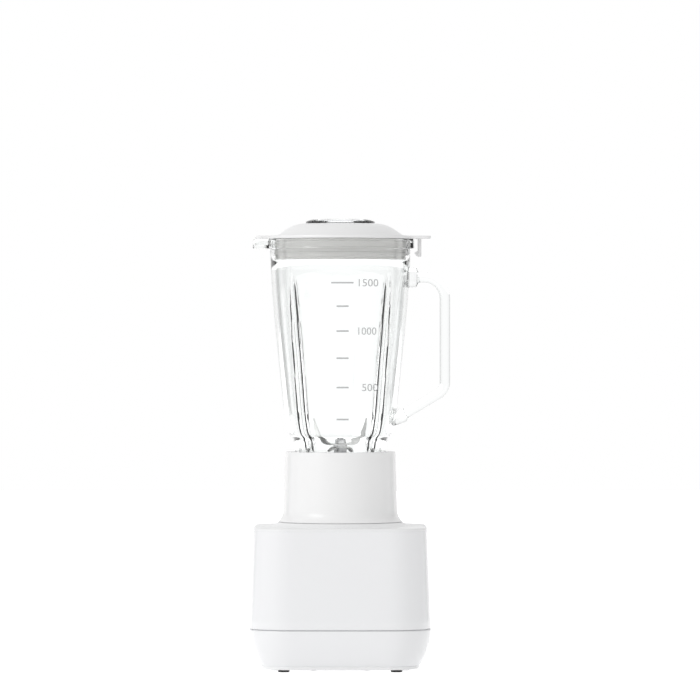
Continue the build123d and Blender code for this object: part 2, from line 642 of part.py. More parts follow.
def guide_fin():
    """Tall fin at the left end of the front post."""
    x = -(POST_WIDTH + FIN_WIDTH) / 2 + FIN_LAP
    body = block(
        FIN_WIDTH, FIN_DEPTH, PLATFORM_TOP - 1.0, FIN_HEIGHT + 1.0, x, -(POST_OUTER + POST_INNER) / 2
    )
    body = fillet(body.edges().filter_by(Axis.Y).group_by(Axis.Z)[-1], FIN_ROUNDING)
    return Rot(0, 0, POST_TURN) * body


def top_deck():
    """Cap of the base: round platform, four drive posts, well and motor bosses."""
    plate = plan_plate(HOUSING_TOP_HALF, HOUSING_TOP, DECK_THICKNESS)
    plate = fillet(plate.faces().sort_by(Axis.Z)[-1].edges(), DECK_EDGE)
    lip_outer = HOUSING_TOP_HALF - CASING_WALL - SEAT_GAP
    plate += plan_plate(lip_outer, HOUSING_TOP - LIP_HEIGHT, LIP_HEIGHT) - plan_plate(
        lip_outer - LIP_THICKNESS, HOUSING_TOP - LIP_HEIGHT, LIP_HEIGHT
    )
    platform = Pos(0, 0, DECK_TOP) * Cone(
        PLATFORM_BASE_RADIUS, PLATFORM_TOP_RADIUS, PLATFORM_HEIGHT, align=BASE
    )
    deck = plate + platform
    deck += [Rot(0, 0, 90 * k) * post() for k in range(4)]
    deck += guide_fin()
    deck -= ring(WELL_RADIUS, 0, PLATFORM_TOP - WELL_DEPTH, WELL_DEPTH)
    hollow = Pos(0, 0, HOUSING_TOP - 1.0) * Cone(
        PLATFORM_BASE_RADIUS - CASING_WALL, PLATFORM_TOP_RADIUS - CASING_WALL,
        DECK_TOP + PLATFORM_HEIGHT - CASING_WALL - WELL_DEPTH - HOUSING_TOP + 1.0, align=BASE,
    )
    deck -= hollow
    well_floor = PLATFORM_TOP - WELL_DEPTH
    deck += ring(SPLASH_SEAL_RADIUS + CASING_WALL, 0, SPLASH_SEAL_Z, well_floor - SPLASH_SEAL_Z)
    deck += ring(HUB_RADIUS, 0, well_floor, SKIRT_LOW - HUB_CLEARANCE - well_floor)
    deck += Pos(0, 0, well_floor) * Cone(
        HUB_RADIUS + HUB_SPREAD, HUB_RADIUS, HUB_SPREAD_HEIGHT, align=BASE
    )
    boss_bottom = UPPER_BRACKET_Z + BRACKET_THICKNESS + MOUNT_HEIGHT
    for x, y in four_corners(MOUNT_OFFSET):
        deck += ring(BOSS_RADIUS, 0, boss_bottom, DECK_TOP - boss_bottom).moved(Pos(x, y))
        deck -= ring(SCREW_RADIUS + RUNNING_FIT, 0, boss_bottom, MOTOR_SCREW_GRIP).moved(Pos(x, y))
    deck -= ring(SPLASH_SEAL_RADIUS, 0, SPLASH_SEAL_Z, SPLASH_SEAL_HEIGHT)
    return deck - ring(SHAFT_RADIUS + SHAFT_PASSAGE, 0, SPLASH_SEAL_Z - 1.0, SKIRT_LOW - SPLASH_SEAL_Z)


def splash_seal():
    """Rubber ring that keeps spills out of the motor where the shaft comes up."""
    return ring(SPLASH_SEAL_RADIUS, SHAFT_RADIUS + LOOSE_FIT, SPLASH_SEAL_Z, SPLASH_SEAL_HEIGHT)


# --- motor ---------------------------------------------------------------------------
def motor_shaft():
    """Shaft from below the fan up into the drive coupler."""
    bottom = FAN_BOTTOM - SHAFT_BELOW_FAN
    return ring(SHAFT_RADIUS, 0, bottom, COUPLER_SEAT - bottom)


def drive_coupler():
    """Coupler on the shaft: skirt, cone, band and four crown dogs with a hub inside."""
    outer = [
        (0, SKIRT_LOW), (COUPLER_SKIRT_RADIUS, SKIRT_LOW), (COUPLER_SKIRT_RADIUS, CONE_LOW),
        (COUPLER_BAND_RADIUS, DOG_LOW), (COUPLER_DOG_RADIUS, DOG_LOW),
        (COUPLER_DOG_RADIUS - COUPLER_DOG_TAPER, DOG_TOP), (0, DOG_TOP),
    ]
    body = turned(outer)
    inner = COUPLER_SKIRT_RADIUS - COUPLER_WALL
    hollow = ring(inner, 0, SKIRT_LOW, COUPLER_SKIRT_HEIGHT)
    hollow += Pos(0, 0, CONE_LOW) * Cone(
        inner, COUPLER_BAND_RADIUS - COUPLER_WALL - 1.0, COUPLER_CONE_HEIGHT - COUPLER_WALL, align=BASE
    )
    body -= hollow
    body += ring(COUPLER_HUB_RADIUS, 0, SKIRT_LOW - 1.5, DOG_LOW - SKIRT_LOW + 1.5)
    for k in range(DOG_COUNT // 2):
        slot = block(4 * COUPLER_DOG_RADIUS, COUPLER_SLOT, DOG_LOW, COUPLER_DOG_HEIGHT)
        body -= Rot(0, 0, 180 / (DOG_COUNT // 2) * k) * slot
    return body - ring(SHAFT_RADIUS, 0, SKIRT_LOW - 2.0, COUPLER_SEAT - SKIRT_LOW + 2.0)


def armature_core():
    """Laminated rotor core with winding slots."""
    body = ring(ARMATURE_RADIUS, SHAFT_RADIUS, STACK_BOTTOM, STACK_HEIGHT)
    slot = block(2 * SLOT_DEPTH, SLOT_WIDTH, STACK_BOTTOM, STACK_HEIGHT, ARMATURE_RADIUS)
    for k in range(ARMATURE_SLOTS):
        body -= Rot(0, 0, 360 / ARMATURE_SLOTS * k) * slot
    return body


def armature_windings():
    """Copper end turns above and below the core, joined through its slots."""
    body = ring(WINDING_RADIUS, SHAFT_RADIUS + 1.5, STACK_BOTTOM - WINDING_HEIGHT, WINDING_HEIGHT)
    body += ring(WINDING_RADIUS, SHAFT_RADIUS + 1.5, STACK_TOP, WINDING_HEIGHT)
    depth = SLOT_DEPTH - WEDGE_DEPTH
    wire_x = ARMATURE_RADIUS - SLOT_DEPTH + depth / 2
    wire = block(depth, SLOT_WIDTH - 2 * LOOSE_FIT, STACK_BOTTOM, STACK_HEIGHT, wire_x)
    for k in range(ARMATURE_SLOTS):
        body += Rot(0, 0, 360 / ARMATURE_SLOTS * k) * wire
    return body


def commutator():
    """Copper commutator with slits between its bars."""
    bottom = COMMUTATOR_TOP - COMMUTATOR_HEIGHT
    body = ring(COMMUTATOR_RADIUS, SHAFT_RADIUS, bottom, COMMUTATOR_HEIGHT)
    slit = block(1.6, 0.5, bottom, COMMUTATOR_HEIGHT, COMMUTATOR_RADIUS)
    for k in range(COMMUTATOR_BARS):
        body -= Rot(0, 0, 360 / COMMUTATOR_BARS * k) * slit
    return body


def cooling_fan():
    """Radial fan below the motor: a plate with straight blades under it."""
    body = ring(FAN_RADIUS, 0, FAN_TOP - FAN_PLATE, FAN_PLATE)
    body += ring(SHAFT_RADIUS + 4.0, 0, FAN_BOTTOM, FAN_HEIGHT)
    length = FAN_RADIUS - SHAFT_RADIUS - 4.0
    for k in range(FAN_BLADES):
        blade = block(length + 1.0, 1.6, FAN_BOTTOM, FAN_HEIGHT, FAN_RADIUS - length / 2 - 0.5)
        body += Rot(0, 0, 360 / FAN_BLADES * k) * blade
    return body - ring(SHAFT_RADIUS, 0, FAN_BOTTOM, FAN_HEIGHT)


def stator_core():
    """Laminated field core round the armature, with two poles."""
    outline = RectangleRounded(2 * STATOR_HALF_X, 2 * STATOR_HALF_Y, STATOR_CORNER)
    body = Pos(0, 0, STACK_BOTTOM) * extrude(outline, STACK_HEIGHT)
    body -= ring(ARMATURE_RADIUS + AIR_GAP, 0, STACK_BOTTOM, STACK_HEIGHT)
    for side in (-1, 1):
        window = block(
            WINDOW_WIDTH, 2 * (STATOR_HALF_Y - COLUMN), STACK_BOTTOM, STACK_HEIGHT, side * COIL_LEG_X
        )
        body -= window - ring(ARMATURE_RADIUS + AIR_GAP + POLE_SHOE, 0, STACK_BOTTOM, STACK_HEIGHT)
    return body


def field_coil(side):
    """One field coil: curved ends over and under the stator, legs in its windows."""
    width = 2 * FIELD_COIL_OUTER
    body = Part()
    for bottom in (STACK_BOTTOM - FIELD_COIL_HEIGHT, STACK_TOP):
        coil_end = ring(FIELD_COIL_OUTER, FIELD_COIL_INNER, bottom, FIELD_COIL_HEIGHT)
        coil_end &= block(
            2 * COIL_LEG_X - 5.0, width, bottom, FIELD_COIL_HEIGHT, 0, side * (width / 2 + COIL_GAP)
        )
        body += coil_end
    leg_height = STACK_HEIGHT + 2 * FIELD_COIL_HEIGHT
    for x in (-COIL_LEG_X, COIL_LEG_X):
        leg = block(
            COIL_LEG_WIDTH, COIL_LEG_DEPTH, STACK_BOTTOM - FIELD_COIL_HEIGHT, leg_height,
            x, side * (COIL_GAP + COIL_LEG_DEPTH / 2),
        )
        body += leg
    return body


def field_coils():
    """The two field coils."""
    return group([field_coil(-1), field_coil(1)])


def upper_bracket():
    """Plate over the motor: it holds the upper bearing and hangs on four mounts."""
    body = block(2 * BRACKET_REACH, 2 * BRACKET_PLATE_HALF, UPPER_BRACKET_Z, BRACKET_THICKNESS)
    body += ring(BEARING_RADIUS + 3.0, 0, UPPER_BEARING_Z, BEARING_HEIGHT)
    for side in (-1, 1):
        body += block(
            BRACKET_LEG, BRACKET_WIDTH, STACK_TOP, UPPER_BRACKET_Z - STACK_TOP,
            side * (BRACKET_REACH - BRACKET_LEG / 2),
        )
    for x, y in four_corners(MOUNT_OFFSET):
        body -= Pos(x, y, UPPER_BRACKET_Z) * Cylinder(
            SCREW_RADIUS + LOOSE_FIT, BRACKET_THICKNESS, align=BASE
        )
    return body - ring(BEARING_RADIUS, 0, UPPER_BEARING_Z, BEARING_HEIGHT)


def lower_bracket():
    """Bridge under the motor with the lower bearing, on two legs."""
    body = block(2 * BRACKET_REACH, BRACKET_WIDTH, LOWER_BRACKET_Z, BRACKET_THICKNESS)
    body += ring(BEARING_RADIUS + 3.0, 0, LOWER_BEARING_Z, BEARING_HEIGHT)
    for side in (-1, 1):
        body += block(
            BRACKET_LEG, BRACKET_WIDTH, LOWER_BRACKET_Z, STACK_BOTTOM - LOWER_BRACKET_Z,
            side * (BRACKET_REACH - BRACKET_LEG / 2),
        )
    return body - ring(BEARING_RADIUS, 0, LOWER_BEARING_Z, BEARING_HEIGHT)


def bearing(bottom):
    """Ball bearing as one ring with a groove round each side."""
    body = ring(BEARING_RADIUS, SHAFT_RADIUS + RUNNING_FIT, bottom, BEARING_HEIGHT)
    groove = ring(BEARING_RADIUS - 2.0, SHAFT_RADIUS + 2.0, 0, 0.8)
    body -= Pos(0, 0, bottom) * groove
    return body - Pos(0, 0, bottom + BEARING_HEIGHT - 0.8) * groove


def brush_holder():
    """Square brass tube on a foot, on the +X side."""
    floor = LOWER_BRACKET_Z + BRACKET_THICKNESS
    length = BRUSH_LENGTH
    middle = COMMUTATOR_RADIUS + 2.0 + length / 2
    tube_bottom = BRUSH_LEVEL - BRUSH_HEIGHT / 2 - HOLDER_WALL
    body = block(
        length, BRUSH_WIDTH + 2 * HOLDER_WALL, floor,
        tube_bottom + BRUSH_HEIGHT + 2 * HOLDER_WALL - floor, middle,
    )
    return body - block(length, BRUSH_WIDTH, BRUSH_LEVEL - BRUSH_HEIGHT / 2, BRUSH_HEIGHT, middle)


def brush_holders():
    """The pair of brush holders."""
    return group(Rot(0, 0, turn) * brush_holder() for turn in (0, 180))


def carbon_brushes():
    """The pair of carbon brushes, just clear of the turning commutator."""
    start = COMMUTATOR_RADIUS + LOOSE_FIT
    brush = block(
        BRUSH_LENGTH * 0.6, BRUSH_WIDTH, BRUSH_LEVEL - BRUSH_HEIGHT / 2, BRUSH_HEIGHT,
        start + BRUSH_LENGTH * 0.3,
    )
    return group(Rot(0, 0, turn) * brush for turn in (0, 180))


def motor_mounts():
    """Four rubber rings between the upper bracket and the deck."""
    bottom = UPPER_BRACKET_Z + BRACKET_THICKNESS
    body = ring(MOUNT_RADIUS, SCREW_RADIUS + LOOSE_FIT, bottom, MOUNT_HEIGHT)
    return group(Pos(x, y) * body for x, y in four_corners(MOUNT_OFFSET))


def motor_screws():
    """Four screws that hang the motor from the deck's bosses."""
    length = BRACKET_THICKNESS + MOUNT_HEIGHT + MOTOR_SCREW_GRIP - 1.0
    body = Pos(0, 0, UPPER_BRACKET_Z) * screw(length)
    return group(Pos(x, y) * body for x, y in four_corners(MOUNT_OFFSET))


def cord_inlet():
    """Soft bush for the supply cord in the back of the skirt."""
    outer_end = skirt_half(INLET_HEIGHT) + 1.2
    place = Pos(0, outer_end, INLET_HEIGHT) * Rot(90, 0, 0)
    body = place * Cylinder(INLET_RADIUS - RUNNING_FIT, INLET_LENGTH, align=BASE)
    body = fillet(body.edges().sort_by(Axis.Y)[-1], 1.0)
    return body - place * Cylinder(INLET_BORE, INLET_LENGTH, align=BASE)


def terminal_block():
    """Supply terminals on the bottom cover, behind the fan."""
    body = block(TERMINAL_LENGTH, TERMINAL_WIDTH, COVER_TOP, TERMINAL_HEIGHT, 0, TERMINAL_PLACE)
    for k in (-1, 0, 1):
        hole = ring(TERMINAL_HOLE, 0, COVER_TOP + TERMINAL_HEIGHT - TERMINAL_HOLE_DEPTH, TERMINAL_HOLE_DEPTH)
        body -= hole.moved(Pos(k * TERMINAL_PITCH, TERMINAL_PLACE))
    return body


# --- blade unit -------------------------------------------------------------------------
def collar_volume(inset, top):
    """The collar's flared volume up to a level, inset from its outside."""
    waist_level = COLLAR_BOTTOM + COLLAR_FLARE
    foot = (COLLAR_FOOT_RADIUS - inset, COLLAR_BOTTOM)
    waist = (COLLAR_WAIST_RADIUS - inset, waist_level)
    slope = (COLLAR_TOP_RADIUS - COLLAR_WAIST_RADIUS) / (COLLAR_TOP - waist_level)
    crown = (waist[0] + slope * (top - waist_level), top)
    reach = COLLAR_FLARE * 0.4
    flare = Bezier(
        foot, (foot[0] - reach * 0.8, foot[1] + reach), (waist[0] - slope * reach, waist[1] - reach), waist
    )
    return revolved([
        flare, Line(waist, crown), Line(crown, (0, top)),
        Line((0, top), (0, COLLAR_BOTTOM)), Line((0, COLLAR_BOTTOM), foot),
    ])


def blade_collar():
    """Outer skirt, threaded cup and bearing tower in one moulding."""
    outside = collar_volume(0, COLLAR_TOP)
    outside = fillet(outside.faces().sort_by(Axis.Z)[-1].edges(), 1.0)
    body = outside - collar_volume(COLLAR_WALL, COLLAR_TOP - COLLAR_WALL)
    body += ring(CUP_RADIUS + CUP_WALL, 0, FLOOR_BOTTOM, COLLAR_TOP - FLOOR_BOTTOM)
    rib_bottom = POST_TOP + 2.0
    rib_inner = CUP_RADIUS + CUP_WALL / 2
    rib = block(
        COLLAR_WAIST_RADIUS - rib_inner, RIB_THICKNESS, rib_bottom, COLLAR_TOP - 1.5 - rib_bottom,
        (COLLAR_WAIST_RADIUS + rib_inner) / 2,
    )
    ribs = [Rot(0, 0, 45 + 360 / RIB_COUNT * k) * rib for k in range(RIB_COUNT)]
    body += (Part() + ribs) & collar_volume(COLLAR_WALL / 2, COLLAR_TOP - 1.5)
    body -= ring(CUP_RADIUS, 0, SEAL_BOTTOM, NECK_HEIGHT + SEAL_THICKNESS)
    body += Pos(0, 0, SEAL_BOTTOM) * Cone(
        TOWER_BASE_RADIUS, TOWER_TOP_RADIUS, TOWER_TOP - SEAL_BOTTOM, align=BASE
    )
    return body - ring(SLEEVE_RADIUS, 0, FLOOR_BOTTOM, TOWER_TOP - FLOOR_BOTTOM)


def jug_seal():
    """Flat rubber ring under the jug's neck."""
    return ring(NECK_RADIUS, NECK_RADIUS - SEAL_WIDTH, SEAL_BOTTOM, SEAL_THICKNESS)


def bearing_sleeve():
    """Metal tube pressed through the tower."""
    return ring(SLEEVE_RADIUS, BUSH_RADIUS, SLEEVE_BOTTOM, SLEEVE_TOP - SLEEVE_BOTTOM)


def blade_bush(bottom):
    """Sintered bush that the blade shaft turns in."""
    return ring(BUSH_RADIUS, BLADE_SHAFT_RADIUS + RUNNING_FIT, bottom, BUSH_HEIGHT)


def shaft_seal():
    """Lip seal at the top of the bearing sleeve."""
    inner = BLADE_SHAFT_RADIUS + RUNNING_FIT
    return ring(BUSH_RADIUS, inner, SLEEVE_TOP - SHAFT_SEAL_HEIGHT, SHAFT_SEAL_HEIGHT)


def blade_shaft():
    """Shaft with a flange under the blades and a thinner stud through them."""
    bottom = SOCKET_BOTTOM + 1.0
    body = ring(BLADE_SHAFT_RADIUS, 0, bottom, LOWER_BLADE_Z - bottom)
    flange_bottom = SLEEVE_TOP + LOOSE_FIT
    body += ring(SHAFT_FLANGE_RADIUS, 0, flange_bottom, LOWER_BLADE_Z - flange_bottom)
    return body + ring(BLADE_STUD_RADIUS, 0, LOWER_BLADE_Z, NUT_BOTTOM + NUT_HEIGHT + 0.8 - LOWER_BLADE_Z)


def lower_blade():
    """Short blade with two drooping, pointed wings."""
    half = LOWER_BLADE_LENGTH / 2
    flat = BLADE_HUB_RADIUS - 1.0
    top = [(-half, BLADE_THICKNESS - LOWER_BLADE_DROOP), (-flat, BLADE_THICKNESS),
           (flat, BLADE_THICKNESS), (half, BLADE_THICKNESS - LOWER_BLADE_DROOP)]
    under = [(x, z - BLADE_THICKNESS) for x, z in reversed(top)]
    outline = make_face(Polyline(*top, *under, top[0]))
    body = extrude(Plane.XZ * outline, LOWER_BLADE_WIDTH / 2, both=True)
    wide = LOWER_BLADE_WIDTH / 2
    plan = [(-half, -wide * 0.2), (-flat, -wide), (flat, -wide), (half, wide * 0.2),
            (flat, wide), (-flat, wide)]
    body &= Pos(0, 0, -10) * extrude(make_face(Polyline(*plan, plan[0])), 20)
    body -= ring(BLADE_STUD_RADIUS, 0, -10, 20)
    return Pos(0, 0, LOWER_BLADE_Z) * Rot(0, 0, LOWER_BLADE_TURN) * body


def upper_wing():
    """One wing of the upper blade on +X, curving up to a point."""
    tip = UPPER_BLADE_SPAN / 2
    flat = BLADE_HUB_RADIUS + 1.0
    rise = UPPER_BLADE_RISE
    under = Bezier((flat, 0), (tip * 0.75, 0), (tip * 0.96, rise * 0.36), (tip, rise))
    inner_tip = tip - BLADE_THICKNESS
    upper = Bezier(
        (inner_tip, rise), (inner_tip - 0.04 * tip, rise * 0.4),
        (tip * 0.72, BLADE_THICKNESS), (flat, BLADE_THICKNESS),
    )
    outline = [
        Line((0, 0), (flat, 0)), under, Line((tip, rise), (inner_tip, rise)), upper,
        Line((flat, BLADE_THICKNESS), (0, BLADE_THICKNESS)), Line((0, BLADE_THICKNESS), (0, 0)),
    ]
    wing = extrude(Plane.XZ * make_face(outline), UPPER_BLADE_WIDTH / 2, both=True)
    wide = UPPER_BLADE_WIDTH / 2
    front = [(-wide, -1), (wide, -1), (wide, rise * 0.12), (UPPER_BLADE_TIP - wide * 0.4, rise + 0.1),
             (-wide * 0.4, rise + 0.1), (-wide, rise * 0.3)]
    return wing & extrude(Plane.YZ * make_face(Polyline(*front, front[0])), 2 * tip)


def upper_blade():
    """Long blade: two upswept wings either side of a round hub."""
    body = upper_wing() + Rot(0, 0, 180) * upper_wing()
    body += ring(BLADE_HUB_RADIUS, 0, 0, BLADE_THICKNESS)
    body -= ring(BLADE_STUD_RADIUS, 0, -1, 4)
    return Pos(0, 0, UPPER_BLADE_Z) * Rot(0, 0, UPPER_BLADE_TURN) * body


def blade_washer():
    """Spacer between the two blades."""
    return ring(WASHER_RADIUS, BLADE_STUD_RADIUS, LOWER_BLADE_Z + BLADE_THICKNESS, WASHER_HEIGHT)


def blade_nut():
    """Hexagon nut that clamps the blades."""
    outline = RegularPolygon(NUT_FLATS / 2, 6, major_radius=False)
    body = Pos(0, 0, NUT_BOTTOM) * extrude(outline, NUT_HEIGHT)
    return body - ring(BLADE_STUD_RADIUS, 0, NUT_BOTTOM, NUT_HEIGHT)


def drive_socket():
    """Driven half of the coupling, with a cross of teeth between the dogs."""
    body = ring(SOCKET_RADIUS, 0, SOCKET_BOTTOM, SOCKET_PLATE)
    tooth_bottom = DOG_LOW + 1.5
    tooth_width = COUPLER_SLOT - 2 * SOCKET_TOOTH_CLEARANCE
    for turn in (0, 90):
        body += Rot(0, 0, turn) * block(
            2 * (SOCKET_RADIUS - 1.5), tooth_width, tooth_bottom, SOCKET_BOTTOM - tooth_bottom
        )
    return body - ring(BLADE_SHAFT_RADIUS, 0, SOCKET_BOTTOM + 1.0, SOCKET_PLATE)


# --- jug ----------------------------------------------------------------------------------
def side_stations():
    """(height, radius) places that the jug's side passes, from its neck to its mouth."""
    stations = [(NECK_HEIGHT, NECK_RADIUS)]
    stations += [(NECK_HEIGHT + above, NECK_RADIUS + beyond) for above, beyond in SHOULDER]
    low, r_low = stations[-1]
    rise = JUG_HEIGHT - RIM_HEIGHT - low
    spread = MOUTH_RADIUS - r_low
    stations += [(low + rise * up, r_low + spread * out) for up, out in SIDE_SHAPE]
    return stations + [(JUG_HEIGHT - RIM_HEIGHT, MOUTH_RADIUS)]


def jug_radius(height):
    """Outer radius of the jug's side at a height above its foot."""
    stations = side_stations()
    for (low, r_low), (high, r_high) in zip(stations, stations[1:]):
        if height <= high:
            return r_low + (r_high - r_low) * (height - low) / (high - low)
    return MOUTH_RADIUS


def jug_outside():
    """The jug's outer volume without handle, spout or rim lip."""
    neck_top, *side, mouth = [(r, z) for z, r in side_stations()]
    outline = [
        Line((0, 0), (NECK_RADIUS, 0)), Line((NECK_RADIUS, 0), neck_top),
        Spline(neck_top, *side, mouth),
        Line(mouth, (RIM_RADIUS, mouth[1] + 1.0)),
        Line((RIM_RADIUS, mouth[1] + 1.0), (RIM_RADIUS, JUG_HEIGHT)),
        Line((RIM_RADIUS, JUG_HEIGHT), (0, JUG_HEIGHT)), Line((0, JUG_HEIGHT), (0, 0)),
    ]
    return revolved(outline)


def jug_inside():
    """The jug's inner volume, open at both ends."""
    side = [(r - JUG_WALL, z) for z, r in side_stations()[1:-1]]
    neck = NECK_RADIUS - JUG_WALL
    mouth_low = (MOUTH_BORE, JUG_HEIGHT - GASKET_HEIGHT - 1.0)
    top = JUG_HEIGHT + 1.0
    outline = [
        Line((0, -1), (neck, -1)), Line((neck, -1), (neck, NECK_HEIGHT)),
        Spline((neck, NECK_HEIGHT), *side, mouth_low),
        Line(mouth_low, (MOUTH_BORE, top)), Line((MOUTH_BORE, top), (0, top)), Line((0, top), (0, -1)),
    ]
    return revolved(outline)


def flute(extra):
    """Tapered rod along the jug's side on +X; extra is added to its radius."""
    reach = FLUTE_TOP - FLUTE_BOTTOM
    shares = [(0.0, 0.55), (0.06, 0.95), (0.45, 1.0), (0.75, 0.8), (0.92, 0.5), (1.0, 0.25)]
    faces = []
    for along, size in shares:
        height = FLUTE_BOTTOM + reach * along
        place = Pos(jug_radius(height) + FLUTE_SINK, 0, height)
        faces.append(place * Circle(FLUTE_RADIUS * size + extra).face())
    return loft(faces)


def handle():
    """Handle: upper arm, grip and slanted lower arm, with a boss at each end."""
    grip_x = HANDLE_OUT - HANDLE_THICKNESS / 2
    start = (jug_radius(HANDLE_TOP) - JUG_WALL / 2, 0, HANDLE_TOP)
    foot = (jug_radius(HANDLE_FOOT) - JUG_WALL / 2, 0, HANDLE_FOOT)
    elbow = (grip_x, 0, HANDLE_ELBOW)
    path = FilletPolyline(
        start, (grip_x, 0, HANDLE_TOP), elbow, foot, radius=[HANDLE_CORNER, HANDLE_ELBOW_RADIUS]
    )
    section = RectangleRounded(HANDLE_WIDTH, HANDLE_THICKNESS, HANDLE_ROUNDING)
    body = sweep(Plane(start, x_dir=(0, 1, 0), z_dir=(1, 0, 0)) * section, path)
    boss_width = HANDLE_WIDTH + HANDLE_BOSS_EXTRA
    upper = RectangleRounded(boss_width, HANDLE_BOSS_HEIGHT, HANDLE_ROUNDING)
    upper_plane = Plane(start, x_dir=(0, 1, 0), z_dir=(1, 0, 0))
    body += extrude(upper_plane * upper, HANDLE_BOSS_END - start[0])
    away = Vector(*elbow) - Vector(*foot)
    lower_plane = Plane(foot, x_dir=(0, 1, 0), z_dir=away)
    lower = RectangleRounded(boss_width, HANDLE_THICKNESS + HANDLE_BOSS_EXTRA, HANDLE_ROUNDING)
    return body + extrude(lower_plane * lower, HANDLE_FOOT_BOSS)


def spout_plan(inset, root_x):
    """Trapezoid of the spout seen from above, inset from its outside."""
    root = SPOUT_ROOT_WIDTH / 2 - inset
    tip = SPOUT_TIP_WIDTH / 2 - inset
    tip_x = -SPOUT_REACH + inset
    corners = [(root_x, -root), (tip_x, -tip), (tip_x, tip), (root_x, root)]
    return make_face(Polyline(*corners, corners[0]))


def jug_handle():
    """The handle, whose ends meet the jug's side."""
    return Pos(0, 0, JUG_BOTTOM) * (handle() - jug_outside())


def glass_jug():
    """Jug with flutes, ridged neck, rim, catch and spout."""
    outside = jug_outside()
    inside = jug_inside()
    flutes = [Rot(0, 0, 45 + 360 / FLUTE_COUNT * k) for k in range(FLUTE_COUNT)]
    ridges = Part() + [turn * flute(JUG_WALL * 0.9) for turn in flutes]
    body = (outside - inside) + (ridges & outside)
    body -= [turn * flute(0) for turn in flutes]
    pitch = NECK_HEIGHT / (NECK_RIDGES + 1)
    for k in range(NECK_RIDGES + 1):
        body -= ring(NECK_RADIUS + 1.0, NECK_RADIUS - NECK_RIDGE_DEPTH, pitch * k + 1.2, pitch / 2)
    rim_low = JUG_HEIGHT - RIM_HEIGHT
    catch = ring(CATCH_RADIUS, 0, rim_low, RIM_HEIGHT)
    catch &= block(CATCH_RADIUS, 2 * CATCH_HALF_WIDTH, rim_low, RIM_HEIGHT, CATCH_RADIUS / 2 + MOUTH_BORE / 2)
    spout = Pos(0, 0, JUG_HEIGHT - SPOUT_HEIGHT) * extrude(spout_plan(0, -MOUTH_BORE), SPOUT_HEIGHT)
    body += (catch + spout) - inside
    channel = extrude(spout_plan(SPOUT_WALL, -MOUTH_BORE + 5.0), SPOUT_HEIGHT)
    body -= Pos(0, 0, JUG_HEIGHT - SPOUT_HEIGHT + SPOUT_WALL) * channel
    return Pos(0, 0, JUG_BOTTOM) * body


def volume_marks():
    """Thin raised ticks on the front of the jug."""
    ticks = Part()
    for share in MARK_SHARES:
        ticks += block(
            MARK_SHORT, MOUTH_RADIUS, MARK_FULL * share, MARK_HEIGHT,
            MARK_LEFT + MARK_SHORT / 2, -MOUTH_RADIUS,
        )
    ticks += block(MARK_LONG, MOUTH_RADIUS, MARK_FULL, MARK_HEIGHT, MARK_LONG_PLACE, -MOUTH_RADIUS)
    outside = jug_outside()
    layer = Pos(0, -MARK_THICKNESS) * outside - outside
    return Pos(0, 0, JUG_BOTTOM) * (layer & ticks)


# --- lid ----------------------------------------------------------------------------------
def dome(inset):
    """The lid's dome above the brim, inset from its outside."""
    foot = (DOME_BASE_RADIUS - inset, 0)
    top = DOME_HEIGHT - inset
    crown = (DOME_TOP_RADIUS - inset, top)
    curve = Bezier(foot, (foot[0] - 8.0, top * 0.52), (foot[0] - 14.0, top * 0.93), crown)
    outline = [curve, Line(crown, (0, top)), Line((0, top), (0, 0)), Line((0, 0), foot)]
    return Pos(0, 0, BRIM_TOP) * revolved(outline)


def lid():
    """Lid: brim with two tabs, dome, plug wall, filler tube and hook."""
    body = ring(RIM_RADIUS, 0, BRIM_BOTTOM, BRIM_THICKNESS)
    for beyond, side in ((TAB_LEFT_REACH, -1), (TAB_RIGHT_REACH, 1)):
        reach = RIM_RADIUS + beyond
        tab = RectangleRounded(reach, TAB_WIDTH, TAB_WIDTH / 4)
        body += Pos(side * reach / 2, 0, BRIM_BOTTOM) * extrude(tab, BRIM_THICKNESS)
    body += dome(0)
    plug_low = BRIM_BOTTOM - PLUG_DEPTH
    body += ring(DOME_BASE_RADIUS, 0, plug_low, PLUG_DEPTH)
    body -= ring(DOME_BASE_RADIUS - LID_WALL, 0, plug_low, PLUG_DEPTH + BRIM_THICKNESS)
    body -= dome(LID_WALL)
    filler_low = DOME_TOP - FILLER_DEPTH
    body += ring(FILLER_RADIUS + FILLER_WALL, 0, filler_low, FILLER_DEPTH)
    body -= ring(FILLER_RADIUS, 0, filler_low, FILLER_DEPTH)
    hook_x = (HOOK_OUTER + HOOK_INNER) / 2
    body += block(
        HOOK_OUTER - HOOK_INNER, HOOK_WIDTH, BRIM_BOTTOM - HOOK_LENGTH, HOOK_LENGTH + 1.0, hook_x
    )
    barb_points = [
        (HOOK_INNER, BRIM_BOTTOM - 11.0), (HOOK_BARB, BRIM_BOTTOM - 13.0),
        (HOOK_BARB, BRIM_BOTTOM - 14.0), (HOOK_INNER, BRIM_BOTTOM - HOOK_LENGTH),
    ]
    barb = make_face(Polyline(*barb_points, barb_points[0]))
    return body + extrude(Plane.XZ * barb, HOOK_WIDTH / 2, both=True)


def lid_gasket():
    """Soft ribbed ring round the lid's plug."""
    low = BRIM_BOTTOM - GASKET_HEIGHT
    body = ring(GASKET_RADIUS, DOME_BASE_RADIUS, low, GASKET_HEIGHT)
    body += ring(GASKET_RADIUS, DOME_BASE_RADIUS - LID_WALL, low, GASKET_HEIGHT - PLUG_DEPTH)
    pitch = GASKET_HEIGHT / GASKET_RIBS
    for k in range(GASKET_RIBS):
        groove = ring(GASKET_RADIUS + 1.0, GASKET_RADIUS - GASKET_GROOVE, low + pitch * k + 1.6, pitch - 2.6)
        body -= groove
    return body


